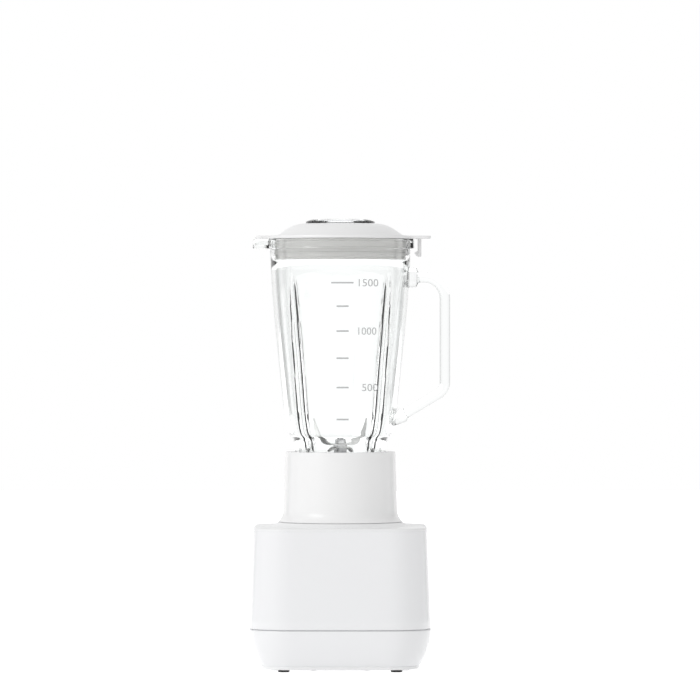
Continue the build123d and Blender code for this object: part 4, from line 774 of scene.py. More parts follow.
def settle(obj: bpy.types.Object, body: str, finish: Solid | Clear, slot: str,
           *nodes: str) -> bpy.types.Object:
    """Dresses a piece and tells the frame what it is.

    Args:
        obj: the finished piece.
        body: the body that it rides on.
        finish: its finish.
        slot: not used.
        *nodes: CAD nodes that it stands for.

    Returns:
        The same object.
    """
    dress(obj, finish)
    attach(obj, body)
    if nodes:
        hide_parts(*nodes)
    LOG.info("%s on %s, %d faces", obj.name, body, len(obj.data.polygons))
    return obj


# --- casing ---------------------------------------------------------------------------------
@dataclass
class Casing:
    """Base of the blender: bottom cover, skirt, housing, feet and deck, in metres."""

    corner: float = 40 * MM
    bow: float = 1.6 * MM
    wall: float = 2.6 * MM
    tuck: float = 10.6 * MM
    seam_half: float = 86 * MM
    top_half: float = 82.2 * MM
    foot_radius: float = 5.5 * MM
    foot_offset: float = 53 * MM
    edge: float = 1.6 * MM
    cord_level: float = 22 * MM
    side_steps: int = 16
    corner_steps: int = 12

    def plan(self, half: float, level: float) -> list[tuple[float, float, float]]:
        """Bowed, round-cornered square at a level.

        Args:
            half: half width over the middles of the sides.
            level: height of the ring.

        Returns:
            The ring's points, anticlockwise from the +X side.
        """
        side = half - self.bow
        big = (side * side + self.bow * self.bow) / (2 * self.bow)
        small = self.corner - (self.seam_half - half)
        # the corner's centre (q, q) is big - small away from the side arc's centre
        shift = half - big
        q = (shift + math.sqrt(shift * shift - 2 * (shift * shift - (big - small) ** 2))) / 2
        turn = math.atan2(q, q - shift)
        quarter = []
        for k in range(self.side_steps):
            angle = -turn + 2 * turn * k / self.side_steps
            quarter.append((shift + big * math.cos(angle), big * math.sin(angle)))
        for k in range(self.corner_steps):
            angle = turn + (math.pi / 2 - 2 * turn) * k / self.corner_steps
            quarter.append((q + small * math.cos(angle), q + small * math.sin(angle)))
        ring = []
        for c, s in ((1, 0), (0, 1), (-1, 0), (0, -1)):
            ring += [(x * c - y * s, x * s + y * c, level) for x, y in quarter]
        return ring

    def shell(self, outside: Outline, inside: Outline) -> bmesh.types.BMesh:
        """Shell between two profiles.

        Args:
            outside: (half width, level) points from the bottom up.
            inside: the same for the inner side.

        Returns:
            The closed mesh.
        """
        profile = list(outside) + list(reversed(inside))
        rings = [self.plan(half, level) for half, level in profile]
        return lofted(rings, cap=False)

    def solid(self, profile: Outline) -> bmesh.types.BMesh:
        """Closed body over a profile of (half width, level), from the bottom up."""
        return lofted([self.plan(half, level) for half, level in profile])

    def skirt(self) -> None:
        """Lower ring, which curves in towards its foot."""
        bottom, top = low("base_skirt").z, 40 * MM
        height = top - bottom
        outside = [(self.seam_half - self.tuck - 0.5 * MM, bottom)]
        for k in range(1, 25):
            level = bottom + height * (k / 25)
            outside.append((self.seam_half - self.tuck * ((top - level) / height) ** 2, level))
        outside += [(self.seam_half, top - 0.5 * MM), (self.seam_half - 0.15 * MM, top - 0.15 * MM)]
        outside += [(self.seam_half - 0.5 * MM, top),
                    (self.seam_half - self.wall - 0.15 * MM, top + 0.06 * MM)]
        lip = self.seam_half - self.wall - 0.2 * MM
        outside += [(lip, top + 3.8 * MM), (lip - 0.2 * MM, top + 4 * MM)]
        inside = [(self.seam_half - self.tuck - self.wall, bottom + 0.1 * MM)]
        inside += [(self.seam_half - self.wall - self.tuck * ((top - z) / height) ** 2, z)
                   for z in (bottom + height * 0.3, bottom + height * 0.6)]
        inside += [(lip - 1.4 * MM, top - 4 * MM), (lip - 1.4 * MM, top + 3.9 * MM)]
        obj = piece("skirt", self.shell(outside, inside), 30)
        entry = turned([(0, -12 * MM), (6.5 * MM, -12 * MM), (6.5 * MM, 12 * MM), (0, 12 * MM)], 48, False)
        place = (Matrix.Translation((0, self.seam_half - 4 * MM, self.cord_level))
                 @ Matrix.Rotation(math.pi / 2, 4, "X"))
        cut(obj, moved(entry, place))
        set_smooth(obj, 30)
        settle(obj, "base", WHITE_CASING, "white_casing", "base_skirt")

    def housing(self) -> None:
        """Upper shell, with the opening for the dial."""
        bottom, top = low("base_housing").z, high("base_housing").z
        rise = top - bottom
        span = self.seam_half - self.top_half
        outside = [(self.seam_half - self.wall, bottom), (self.seam_half - 0.5 * MM, bottom),
                   (self.seam_half - 0.15 * MM, bottom + 0.15 * MM)]
        outside += [(self.seam_half - span * k / 12, bottom + 0.5 * MM + (rise - 0.8 * MM) * k / 12)
                    for k in range(13)]
        outside += [(self.top_half - 0.3 * MM, top)]
        inside = [(self.seam_half - self.wall - 0.02 * MM, bottom + 0.1 * MM),
                  (self.top_half - self.wall, top - 0.1 * MM)]
        obj = piece("housing", self.shell(outside, inside), 30)
        hole = turned([(0, -9 * MM), (24.1 * MM, -9 * MM), (24.1 * MM, 9 * MM), (0, 9 * MM)], 96, False)
        place = Matrix.Translation((84 * MM, 0, 88 * MM)) @ Matrix.Rotation(math.pi / 2, 4, "Y")
        cut(obj, moved(hole, place))
        set_smooth(obj, 30)
        settle(obj, "base", WHITE_CASING, "white_casing", "base_housing")

    def cover(self) -> None:
        """Bottom plate with its air slots and nubs."""
        half, bottom, top = 75 * MM, 3 * MM, 6 * MM
        body = self.solid([(half - 0.7 * MM, bottom), (half - 0.2 * MM, bottom + 0.2 * MM),
                           (half, bottom + 0.7 * MM), (half, top - 0.3 * MM), (half - 0.3 * MM, top)])
        obj = piece("bottom_plate", body, 30)
        slots = []
        for k in range(-4, 5):
            y = k * 7 * MM
            ends = arc((30.5 * MM, y), 1.5 * MM, -90, 90, 8) + arc((-30.5 * MM, y), 1.5 * MM, 90, 270, 8)
            slots.append(prism(ends, bottom - 1 * MM, top + 1 * MM))
        cut(obj, merged(slots))
        for x in (-25 * MM, 25 * MM):
            for y in (-self.foot_offset, self.foot_offset):
                nub = turned([(0, 1.4 * MM), (1.9 * MM, 1.4 * MM), (2.4 * MM, 1.8 * MM),
                              (2.5 * MM, 3.2 * MM), (0, 3.2 * MM)], 32, False)
                cut(obj, moved(nub, Matrix.Translation((x, y, 0))), "UNION")
        set_smooth(obj, 30)
        # brightened white: painted light on the shaded bottom plate
        settle(obj, "base", WHITE_DECK_PAINTED_LIGHT, "white_casing", "bottom_cover")

    def feet(self) -> None:
        """Four rubber feet with a ring moulded in each."""
        radius = self.foot_radius
        outline = [(0, 0.25 * MM), (radius * 0.45, 0.25 * MM), (radius * 0.5, 0.02 * MM),
                   (radius * 0.86, 0.0), (radius * 0.96, 0.3 * MM), (radius, 0.8 * MM), (radius, 2.7 * MM),
                   (radius * 0.97, 3.0 * MM), (0, 3.0 * MM)]
        offset = self.foot_offset
        places = [(x, y) for x in (-offset, offset) for y in (-offset, offset)]
        parts = [moved(turned(outline, 40, False), Matrix.Translation((x, y, 0))) for x, y in places]
        settle(piece("rubber_feet", merged(parts)), "base", FOOT_RUBBER, "foot_rubber", "feet")

    def build(self) -> None:
        """Makes the shells and the feet."""
        self.skirt()
        self.housing()
        self.cover()
        self.feet()


@dataclass
class Deck:
    """Top of the base: round platform, drive posts, guide fin and hub."""

    casing: Casing
    bottom: float = 132.9 * MM
    top: float = 135.5 * MM
    platform: float = 139.2 * MM
    post_top: float = 153.2 * MM
    post_turn: float = -3.2
    inner: float = 33 * MM
    outer: float = 50.8 * MM
    width: float = 31 * MM

    def post(self) -> bmesh.types.BMesh:
        """One drive post on +X: a stem under a wider cap.

        Returns:
            The mesh of both.
        """
        half = self.width / 2

        def sector(half_width: float, r_in: float, r_out: float) -> list[tuple[float, float]]:
            """Outline between two radii.

            Args:
                half_width: half its width.
                r_in: its inner radius.
                r_out: its outer radius.

            Returns:
                The outline.
            """
            reach_out = math.degrees(math.asin(half_width / r_out))
            reach_in = math.degrees(math.asin(half_width / r_in))
            return arc((0, 0), r_out, -reach_out, reach_out, 12) + arc((0, 0), r_in, reach_in, -reach_in, 12)

        outline = sector(half - 1.2 * MM, self.inner + 0.6 * MM, self.outer - 0.5 * MM)
        stem = prism(rounded(outline, 0.8 * MM, 2), self.platform - 1 * MM, self.post_top - 2 * MM)
        cap = prism(sector(half, self.inner, self.outer), self.post_top - 3.5 * MM, self.post_top)
        soften(cap, sharp_edges(cap, 40), 0.6 * MM, 3)
        return merged([stem, cap])

    def panels(self) -> bmesh.types.BMesh:
        """Cutters for the sunk panels of one post.

        Returns:
            The mesh of both.
        """
        middle = (self.inner + self.outer) / 2
        low_z, high_z = self.platform + 1.4 * MM, self.post_top - 4.6 * MM
        size = (self.outer - self.inner - 5 * MM, 3 * MM, high_z - low_z)
        y = self.width / 2 - 1.2 * MM
        return merged([box(size, (middle, side * y, (low_z + high_z) / 2), 0.4 * MM) for side in (-1, 1)])

    def build(self) -> None:
        """Makes the deck."""
        half = self.casing.top_half
        edge = self.casing.edge
        profile = [(half - 0.3 * MM, self.bottom), (half, self.bottom + 0.3 * MM)]
        profile += [(x, z) for x, z in arc((half - edge, self.top - edge), edge, 0, 90, 6)]
        obj = piece("deck", self.casing.solid(profile), 30)
        well = self.platform - 2.5 * MM
        rise = [(66.2 * MM, self.top - 0.6 * MM), (65.4 * MM, self.top + 0.1 * MM),
                (64.4 * MM, self.top + 0.5 * MM)]
        rise += [(60.6 * MM, self.platform - 0.7 * MM), (59.9 * MM, self.platform - 0.2 * MM),
                 (59.0 * MM, self.platform)]
        rise += [(26.8 * MM, self.platform), (26.2 * MM, self.platform - 0.2 * MM),
                 (26 * MM, self.platform - 0.7 * MM), (26 * MM, well + 0.6 * MM), (25.4 * MM, well)]
        rise += [(20.4 * MM, well), (18.3 * MM, well + 1.0 * MM), (15.8 * MM, well + 3.2 * MM),
                 (15 * MM, well + 4.6 * MM), (15 * MM, 146.6 * MM), (14.8 * MM, 147.1 * MM),
                 (14.2 * MM, 147.4 * MM), (6.6 * MM, 147.4 * MM), (6 * MM, 147.0 * MM),
                 (6 * MM, self.top - 0.6 * MM)]
        cut(obj, turned(rise, 128), "UNION")
        for k in range(4):
            turn = Matrix.Rotation(math.radians(90 * k + self.post_turn), 4, "Z")
            cut(obj, moved(self.post(), turn), "UNION")
            cut(obj, moved(self.panels(), turn))
        fin = box((6.4 * MM, 8 * MM, 19 * MM), (-18.1 * MM, -41.9 * MM, self.platform + 8.9 * MM), 0.9 * MM)
        cut(obj, moved(fin, Matrix.Rotation(math.radians(self.post_turn), 4, "Z")), "UNION")
        set_smooth(obj, 32)
        # brightened white: painted light on the shaded deck and posts
        settle(obj, "base", WHITE_DECK_PAINTED_LIGHT, "white_casing", "top_deck")


@dataclass
class Dial:
    """Speed dial in its round recess on the right side."""

    radius: float = 20 * MM
    back: float = 73.03 * MM
    level: float = 88 * MM

    def place(self, x: float) -> Matrix:
        """Matrix that turns +Z into +X at a distance from the axis."""
        return Matrix.Translation((x, 0, self.level)) @ Matrix.Rotation(math.pi / 2, 4, "Y")

    def build(self) -> None:
        """Makes the knob, its pointer and the recess."""
        disc = 4 * MM
        outline = [(0, 0), (self.radius - 0.3 * MM, 0), (self.radius, 0.3 * MM),
                   (self.radius, disc - 1.2 * MM)]
        outline += arc((self.radius - 1.2 * MM, disc - 1.2 * MM), 1.2 * MM, 0, 90, 5)
        outline += [(self.radius * 0.8, disc + 0.1 * MM), (0, disc)]
        knob = piece("dial_knob", turned(outline, 96, False))
        grip = box((37 * MM, 8 * MM, 6 * MM), (0, 0, disc + 2 * MM), 1.8 * MM)
        cut(knob, grip, "UNION")
        ribs = [moved(box((1.0 * MM, 0.9 * MM, 3.4 * MM), (self.radius, 0, 1.9 * MM)),
                      Matrix.Rotation(math.radians(6 * k), 4, "Z")) for k in range(60)]
        cut(knob, merged(ribs))
        reworked(knob, lambda bm: moved(bm, self.place(self.back)))
        set_smooth(knob, 35)
        settle(knob, "dial", DIAL_WHITE, "white_casing", "speed_knob")
        mark = box((9 * MM, 1.6 * MM, 0.3 * MM), (-11.5 * MM, 0, 8.9 * MM), 0.1 * MM)
        obj = piece("dial_pointer", moved(mark, self.place(self.back)))
        settle(obj, "dial", DIAL_PRINT, "white_casing")
        well = piece("dial_well", copied("dial_recess"), 30)
        settle(well, "base", WHITE_CASING, "white_casing", "dial_recess")
        bush = piece("cord_bush", copied("cord_inlet"), 30)
        settle(bush, "base", FOOT_RUBBER, "foot_rubber", "cord_inlet")


@dataclass
class Coupler:
    """Dark drive coupler on the motor shaft, with four crown dogs."""

    skirt: float = 23 * MM
    band: float = 17.5 * MM
    dog: float = 16.2 * MM
    dog_top: float = 14.4 * MM
    slot: float = 6.4 * MM
    wall: float = 2.6 * MM
    levels: tuple[float, float, float, float] = (149.4 * MM, 155.4 * MM, 162.9 * MM, 171.1 * MM)

    def build(self) -> None:
        """Makes the driving half and the driven socket."""
        z0, z1, z2, z3 = self.levels
        wall = self.wall
        outline = [(self.skirt - wall, z0), (self.skirt - 0.5 * MM, z0), (self.skirt, z0 + 0.5 * MM),
                   (self.skirt, z1 - 0.8 * MM), (self.skirt - 0.4 * MM, z1 + 0.3 * MM)]
        outline += [(self.band + 0.9 * MM, z2 - 2.2 * MM), (self.band + 0.2 * MM, z2 - 1.6 * MM),
                    (self.band, z2 - 0.9 * MM), (self.band - 0.1 * MM, z2 - 0.3 * MM),
                    (self.band - 0.5 * MM, z2),
                    (self.dog + 0.2 * MM, z2 + 0.1 * MM), (self.dog, z2 + 0.5 * MM)]
        outline += [(self.dog_top + 0.3 * MM, z3 - 0.9 * MM), (self.dog_top - 0.2 * MM, z3 - 0.2 * MM),
                    (self.dog_top - 0.9 * MM, z3), (4.2 * MM, z3), (4 * MM, z3 - 0.2 * MM),
                    (4 * MM, z2 - 0.8 * MM)]
        outline += [(4 * MM, z2 - 2.6 * MM), (4 * MM, 147.9 * MM),
                    (7.5 * MM, 147.9 * MM), (7.5 * MM, z2 - 3.4 * MM), (self.band - wall - 1 * MM, z2 - wall),
                    (self.skirt - wall, z1)]
        obj = piece("coupler", turned(outline, 96))
        wide, narrow, reach = self.slot / 2 + 0.9 * MM, self.slot / 2 - 0.7 * MM, 20 * MM
        for k in range(2):
            gap = prism([(-wide, z3 + 1 * MM), (wide, z3 + 1 * MM), (narrow, z2 + 1.2 * MM), (narrow, z2),
                         (-narrow, z2), (-narrow, z2 + 1.2 * MM)], -reach, reach)
            stand = Matrix.Rotation(math.pi / 2, 4, "X")
            cut(obj, moved(gap, Matrix.Rotation(math.pi / 2 * k, 4, "Z") @ stand))
        lean = Matrix.Translation((15.3 * MM, 0, z2 + 4 * MM)) @ Matrix.Rotation(math.radians(-12.4), 4, "Y")
        ribs = [moved(box((1.2 * MM, 0.9 * MM, 6.2 * MM), (0, 0, 0), 0.25 * MM),
                      Matrix.Rotation(math.radians(90 * k + 45 + offset), 4, "Z") @ lean)
                for k in range(4) for offset in (-21, 0, 21)]
        cut(obj, merged(ribs), "UNION")

        def soften_dogs(bm: bmesh.types.BMesh) -> None:
            """Rounds the sharp edges of the dogs."""
            edges = [e for e in sharp_edges(bm, 50) if min(v.co.z for v in e.verts) > z2 + 0.6 * MM]
            soften(bm, edges, 0.35 * MM, 2)

        reworked(obj, soften_dogs)
        set_smooth(obj, 35)
        settle(obj, "rotor", COUPLER_GREY, "coupler_plastic", "drive_coupler")
        socket = piece("driven_socket", copied("drive_socket"), 30)
        settle(socket, "blades", COUPLER_GREY, "coupler_plastic", "drive_socket")


# --- blade unit -----------------------------------------------------------------------------
@dataclass
class BladeCollar:
    """Skirt, threaded cup and bearing tower of the blade unit."""

    bottom: float = 139.5 * MM
    top: float = 206.0 * MM
    foot: float = 59 * MM
    waist: float = 54.2 * MM
    crown: float = 52.3 * MM
    flare: float = 10.7 * MM
    wall: float = 2.4 * MM
    cup: float = 43.2 * MM

    def flank(self, inset: float) -> list[tuple[float, float]]:
        """Outer profile from the foot to the waist.

        Args:
            inset: how far it is moved in.

        Returns:
            The (radius, level) points.
        """
        slope = (self.crown - self.waist) / (self.top - self.bottom - self.flare)
        reach = self.flare * 0.4
        a = (self.foot, self.bottom)
        b = (self.foot - reach * 0.8, self.bottom + reach)
        c = (self.waist - slope * reach, self.bottom + self.flare - reach)
        d = (self.waist, self.bottom + self.flare)
        return [(r - inset, z) for r, z in bezier((a, b, c, d), 10)]

    def build(self) -> None:
        """Makes the collar with its thread and ribs."""
        rim = 1.0 * MM
        outline = [(self.foot - 0.4 * MM, self.bottom)] + [(r, z + (0.4 * MM if k == 0 else 0))
                                                           for k, (r, z) in enumerate(self.flank(0))]
        outline += arc((self.crown - rim, self.top - rim), rim, 0, 90, 6)
        outline += [(self.cup + 0.6 * MM, self.top), (self.cup, self.top - 0.6 * MM)]
        seal = 180.6 * MM
        for k in range(3):
            z = self.top - 4.5 * MM - 5.4 * MM * k
            outline += [(self.cup, z + 1.6 * MM), (self.cup - 0.35 * MM, z + 0.7 * MM),
                        (self.cup - 0.35 * MM, z - 0.7 * MM), (self.cup, z - 1.6 * MM)]
        outline += [(self.cup, seal + 1 * MM), (self.cup - 1 * MM, seal), (16.4 * MM, seal),
                    (15 * MM, seal + 1.2 * MM), (9.6 * MM, 203.8 * MM), (9 * MM, 204.5 * MM),
                    (7.1 * MM, 204.5 * MM), (7.0 * MM, 204.3 * MM)]
        outline += [(7.0 * MM, 177.6 * MM), (46 * MM, 177.6 * MM), (46 * MM, self.top - self.wall),
                    (self.crown - self.wall, self.top - self.wall)]
        outline += list(reversed(self.flank(self.wall)))
        obj = piece("collar", turned(outline, 160))
        ribs = spun_copies(
            lambda: box((7.4 * MM, 2.2 * MM, 47 * MM), (48.6 * MM, 0, 180.6 * MM)), 4, 45.0)
        cut(obj, merged(ribs), "UNION")
        set_smooth(obj, 32)
        settle(obj, "blade_unit", WHITE_COLLAR, "white_collar", "blade_collar")


@dataclass
class Blades:
    """Two crossed blades, their spacer and their nut."""

    lower_z: float = 209.6 * MM
    upper_z: float = 212.4 * MM
    thick: float = 1.4 * MM
    span: float = 57 * MM
    rise: float = 24.9 * MM
    turn: float = 31.0
    lower_turn: float = 42.0

    def place(self, level: float, turn: float) -> Matrix:
        """Matrix that lifts a blade to its level and turns it by some degrees."""
        return Matrix.Translation((0, 0, level)) @ Matrix.Rotation(math.radians(turn), 4, "Z")

    def strip(self, line: list, widths: list, shift: list, thick: list) -> bmesh.types.BMesh:
        """Blade with ground edges along a line in the XZ plane.

        Args:
            line: (x, z) points of its middle.
            widths: width at each point.
            shift: sideways shift of the middle at each point.
            thick: thickness at each point.

        Returns:
            The closed mesh.
        """
        rings = []
        for k, (x, z) in enumerate(line):
            x0, z0 = line[max(k - 1, 0)]
            x1, z1 = line[min(k + 1, len(line) - 1)]
            along = Vector((x1 - x0, 0, z1 - z0)).normalized()
            up = Vector((-along.z, 0, along.x))
            half, t = widths[k] / 2, thick[k] / 2
            grind = min(1.9 * MM, half * 0.6)
            section = [(-half, -t * 0.75), (half - grind, -t), (half, -t * 0.1), (half, t * 0.1),
                       (half - grind, t), (-half, t * 0.75)]
            middle = Vector((x, shift[k], z))
            rings.append([middle + Vector((0, w, 0)) + up * h for w, h in section])
        return lofted(rings)

    def upper(self) -> bmesh.types.BMesh:
        """Long blade, whose wings sweep up.

        Returns:
            The closed mesh, in its place.
        """
        tip, flat = self.span / 2, 9 * MM
        sweep = ((flat, 0), (tip * 0.62, 0), (tip * 0.9, self.rise * 0.3), (tip - 0.8 * MM, self.rise))
        wing = bezier(sweep, 16)
        count = len(wing)
        right = [(x, z + self.thick / 2) for x, z in wing]
        line = [(-x, z) for x, z in reversed(right)] + [(0.0, self.thick / 2)] + right
        wide = [15.5 * MM * (1 - (k / (count - 1)) ** 1.9 * 0.9) for k in range(count)]
        lean = [-(15.5 * MM - w) * 0.16 for w in wide]
        thin = [self.thick * (1 - 0.35 * k / (count - 1)) for k in range(count)]
        widths = list(reversed(wide)) + [14 * MM] + wide
        shifts = [-s for s in reversed(lean)] + [0.0] + lean
        thick = list(reversed(thin)) + [self.thick] + thin
        bm = self.strip(line, widths, shifts, thick)
        return moved(bm, self.place(self.upper_z, self.turn))

    def build(self) -> None:
        """Makes the blades and the nut."""
        settle(piece("long_blade", self.upper(), 25), "blades", BLADE_STEEL, "blade_steel", "upper_blade")
        half, droop = 16.9 * MM, 2.6 * MM
        xs = [-half, -13 * MM, -9.5 * MM, -7 * MM, 0.0, 7 * MM, 9.5 * MM, 13 * MM, half]
        line = [(x, self.thick / 2 - max(0.0, (abs(x) - 7.5 * MM) / (half - 7.5 * MM)) * droop) for x in xs]
        widths = [3.4 * MM, 6.4 * MM, 9.4 * MM, 11 * MM, 11 * MM, 11 * MM, 9.4 * MM, 6.4 * MM, 3.4 * MM]
        shift = [(1 if x > 0 else -1) * (11 * MM - w) * 0.3 for x, w in zip(xs, widths)]
        short = self.strip(line, widths, shift, [self.thick] * len(xs))
        short = piece("short_blade", moved(short, self.place(self.lower_z, self.lower_turn)), 25)
        settle(short, "blades", BLADE_STEEL, "blade_steel", "lower_blade")
        nut = piece("blade_cap_nut", prism(arc((0, 0), 5.45 * MM, 12, 312, 5), 213.8 * MM, 217.6 * MM))
        cone = turned([(0, 213.7 * MM), (5.6 * MM, 213.7 * MM), (5.6 * MM, 215.6 * MM),
                       (4.9 * MM, 216.3 * MM), (3.9 * MM, 216.6 * MM), (0, 216.7 * MM)], 48, False)
        cut(nut, cone, "INTERSECT")
        dome = turned([(0, 216.2 * MM), (3.2 * MM, 216.2 * MM), (3.0 * MM, 217.1 * MM),
                       (2.2 * MM, 217.6 * MM), (0, 217.7 * MM)], 40, False)
        cut(nut, dome, "UNION")
        set_smooth(nut, 28)
        settle(nut, "blades", TURNED_STEEL, "plain_steel", "blade_nut")


# --- jug ------------------------------------------------------------------------------------
@dataclass
class Jug:
    """Clear jug with flutes, spout, catch, handle and its printed scale."""

    foot: float = 182.6 * MM
    height: float = 225 * MM
    wall: float = 4 * MM
    neck: float = 42.75 * MM
    mouth_bore: float = 63.45 * MM
    rim: float = 67.6 * MM
    flute: float = 4.2 * MM
    flute_low: float = 23.6 * MM
    flute_high: float = 189.5 * MM
    flute_shape: tuple[tuple[float, float], ...] = (
        (0, 0.45), (0.02, 0.8), (0.06, 0.98), (0.45, 1.0), (0.75, 0.82), (0.92, 0.6), (0.98, 0.46), (1, 0.2),
    )
    grip_x: float = 99.3 * MM
    grip_levels: tuple[float, float, float] = (188.6 * MM, 81.9 * MM, 53.9 * MM)
    grip_gap: float = 0.12 * MM
    full_mark: float = 182.2
    mark_shares: tuple[float, ...] = (0.295, 0.46, 0.611, 0.751, 0.879)
    steps: int = 360
    stations: list = field(default_factory=lambda: [
        (23.4, 42.75), (34.8, 44.7), (42.8, 49.8), (59.5, 53.2), (88.83, 56.4), (138.28, 61.6),
        (183.05, 65.3), (215.5, 66.6),
    ])

    def side(self) -> list[tuple[float, float]]:
        """Smooth outer profile of (height, radius) from the neck to the mouth."""
        return smooth_line([(z * MM, r * MM) for z, r in self.stations], 9)

    def radius(self, height: float) -> float:
        """Outer radius of the wall.

        Args:
            height: height above the jug's foot.

        Returns:
            The radius.
        """
        line = self.side()
        for (z0, r0), (z1, r1) in zip(line, line[1:]):
            if height <= z1:
                return r0 + (r1 - r0) * max(0.0, height - z0) / (z1 - z0)
        return line[-1][1]

    def flute_size(self, height: float) -> float:
        """Size of the flutes.

        Args:
            height: height above the jug's foot.

        Returns:
            Share of the full flute radius, 0 where there is none.
        """
        t = (height - self.flute_low) / (self.flute_high - self.flute_low)
        if not 0 <= t <= 1:
            return 0.0
        for (a, u), (b, v) in zip(self.flute_shape, self.flute_shape[1:]):
            if t <= b:
                return u + (v - u) * (t - a) / (b - a)
        return self.flute_shape[-1][1]

    def outline(self) -> list[tuple[float, float]]:
        """Closed section of the wall: outside from the foot up, inside back down.

        Returns:
            The (radius, height) points.
        """
        neck = self.neck
        points = [(neck - 1.6 * MM, 0.0), (neck - 1.1 * MM, 0.35 * MM), (neck - 0.8 * MM, 1.2 * MM)]
        for z in (3.6, 9.4, 15.2):
            points += [(neck - 0.9 * MM, (z - 0.9) * MM), (neck - 0.25 * MM, (z + 0.1) * MM),
                       (neck, (z + 1.2) * MM), (neck - 0.25 * MM, (z + 2.3) * MM),
                       (neck - 0.9 * MM, (z + 3.3) * MM)]
        points += [(neck - 0.8 * MM, 20.4 * MM), (neck - 0.2 * MM, 21.6 * MM)]
        points += [(r, z) for z, r in self.side()[:-1]]
        top = self.height
        points += [(66.6 * MM, 215.3 * MM), (67.3 * MM, 215.7 * MM), (self.rim, 216.3 * MM),
                   (self.rim, 218.5 * MM), (self.rim, 221 * MM)]
        points += arc((self.rim - 1.6 * MM, top - 1.6 * MM), 1.6 * MM, 0, 80, 5)
        points += arc((self.mouth_bore + 1.2 * MM, top - 1.2 * MM), 1.2 * MM, 95, 180, 5)
        points += [(self.mouth_bore, 219.3 * MM), (self.mouth_bore, 218.9 * MM), (self.mouth_bore, 212 * MM),
                   (self.mouth_bore, 204.4 * MM), (self.mouth_bore - 0.4 * MM, 203.2 * MM)]
        inner = [(r - self.wall, z) for z, r in self.side() if 26 * MM < z < 200 * MM]
        points += list(reversed(inner))
        points += [(neck - self.wall, 23 * MM), (neck - self.wall, 12 * MM), (neck - self.wall, 1.6 * MM)]
        points += [(neck - self.wall + 0.4 * MM, 0.4 * MM), (neck - self.wall + 1.2 * MM, 0.0)]
        return points

    def carve(self, co: Vector) -> None:
        """Moves one point of the wall for the flutes, the spout and the catch.

        Args:
            co: the point, in the jug's own heights.
        """
        r = math.hypot(co.x, co.y)
        angle = math.atan2(co.y, co.x)
        size = self.flute_size(co.z)
        if size > 0:
            near = (math.degrees(angle) - 45.0) % 90.0
            near = min(near, 90.0 - near)
            across = math.radians(near) * r
            centre = self.radius(co.z) + 1 * MM
            inside = r < self.radius(co.z) - 1.5 * MM
            reach = self.flute * size + (3.6 * MM if inside else 0.0)
            if across < reach:
                depth = centre - math.sqrt(reach * reach - across * across)
                soft = min(r, depth)
                co.x, co.y = soft * math.cos(angle), soft * math.sin(angle)
        high_enough = co.z > 215.9 * MM
        if high_enough and co.x < 0:
            outside = r > 65.6 * MM
            if not outside and co.z < 219.2 * MM:
                return
            root, tip = (15 * MM, 5.4 * MM) if outside else (11.6 * MM, 3.2 * MM)
            reach = 83 * MM if outside else 79.8 * MM
            if outside and co.z > 222 * MM:
                reach -= (co.z - 222 * MM) * 0.3
            share = (root - abs(co.y)) / (root - tip)
            if share > 0:
                share = min(1.0, share)
                share = share * share * (3 - 2 * share)
                base = -math.sqrt(max(r * r - root * root, 0.0))
                co.x = min(co.x, base + (-reach - base) * share)
        if high_enough and co.x > 0 and r > 65.6 * MM and abs(co.y) < 12.4 * MM:
            share = min(1.0, (12.4 * MM - abs(co.y)) / (1.0 * MM))
            grown = r + 2.7 * MM * share
            co.x, co.y = grown * math.cos(angle), grown * math.sin(angle)

    def bowl(self) -> None:
        """Makes the jug's wall."""
        bm = turned(self.outline(), self.steps)
        for vert in bm.verts:
            self.carve(vert.co)
        bmesh.ops.recalc_face_normals(bm, faces=bm.faces)
        moved(bm, Matrix.Translation((0, 0, self.foot)))
        settle(piece("jug_bowl", bm, 42), "jug", GLASS, "clear_glass", "glass_jug")

    def section(self, width: float, thick: float, rounding: float) -> list[tuple[float, float]]:
        """Rounded rectangle, centred, of (across, along-normal) points."""
        w, t = width / 2, thick / 2
        return rounded([(-w, -t), (w, -t), (w, t), (-w, t)], rounding, 6)

    def handle(self) -> None:
        """Sweeps the handle between its two bosses."""
        top_z, elbow_z, foot_z = self.grip_levels
        start = Vector((self.radius(top_z) + self.grip_gap, top_z))
        foot = Vector((self.radius(foot_z) + self.grip_gap, foot_z))
        corner, elbow = Vector((self.grip_x, top_z)), Vector((self.grip_x, elbow_z))
        path: list[Vector] = []

        def bend(a: Vector, b: Vector, c: Vector, radius: float) -> None:
            """Adds the arc at a corner of the path.

            Args:
                a: the point before the corner.
                b: the corner.
                c: the point after it.
                radius: the arc's radius.
            """
            one, two = (a - b).normalized(), (c - b).normalized()
            half = one.angle(two) / 2
            reach = radius / math.tan(half)
            centre = b + (one + two).normalized() * (radius / math.sin(half))
            p, q = b + one * reach, b + two * reach
            first = math.atan2(*(p - centre).yx)
            last = math.atan2(*(q - centre).yx)
            turn = (last - first + math.pi) % math.tau - math.pi
            for k in range(13):
                angle = first + turn * k / 12
                path.append(centre + Vector((math.cos(angle), math.sin(angle))) * radius)

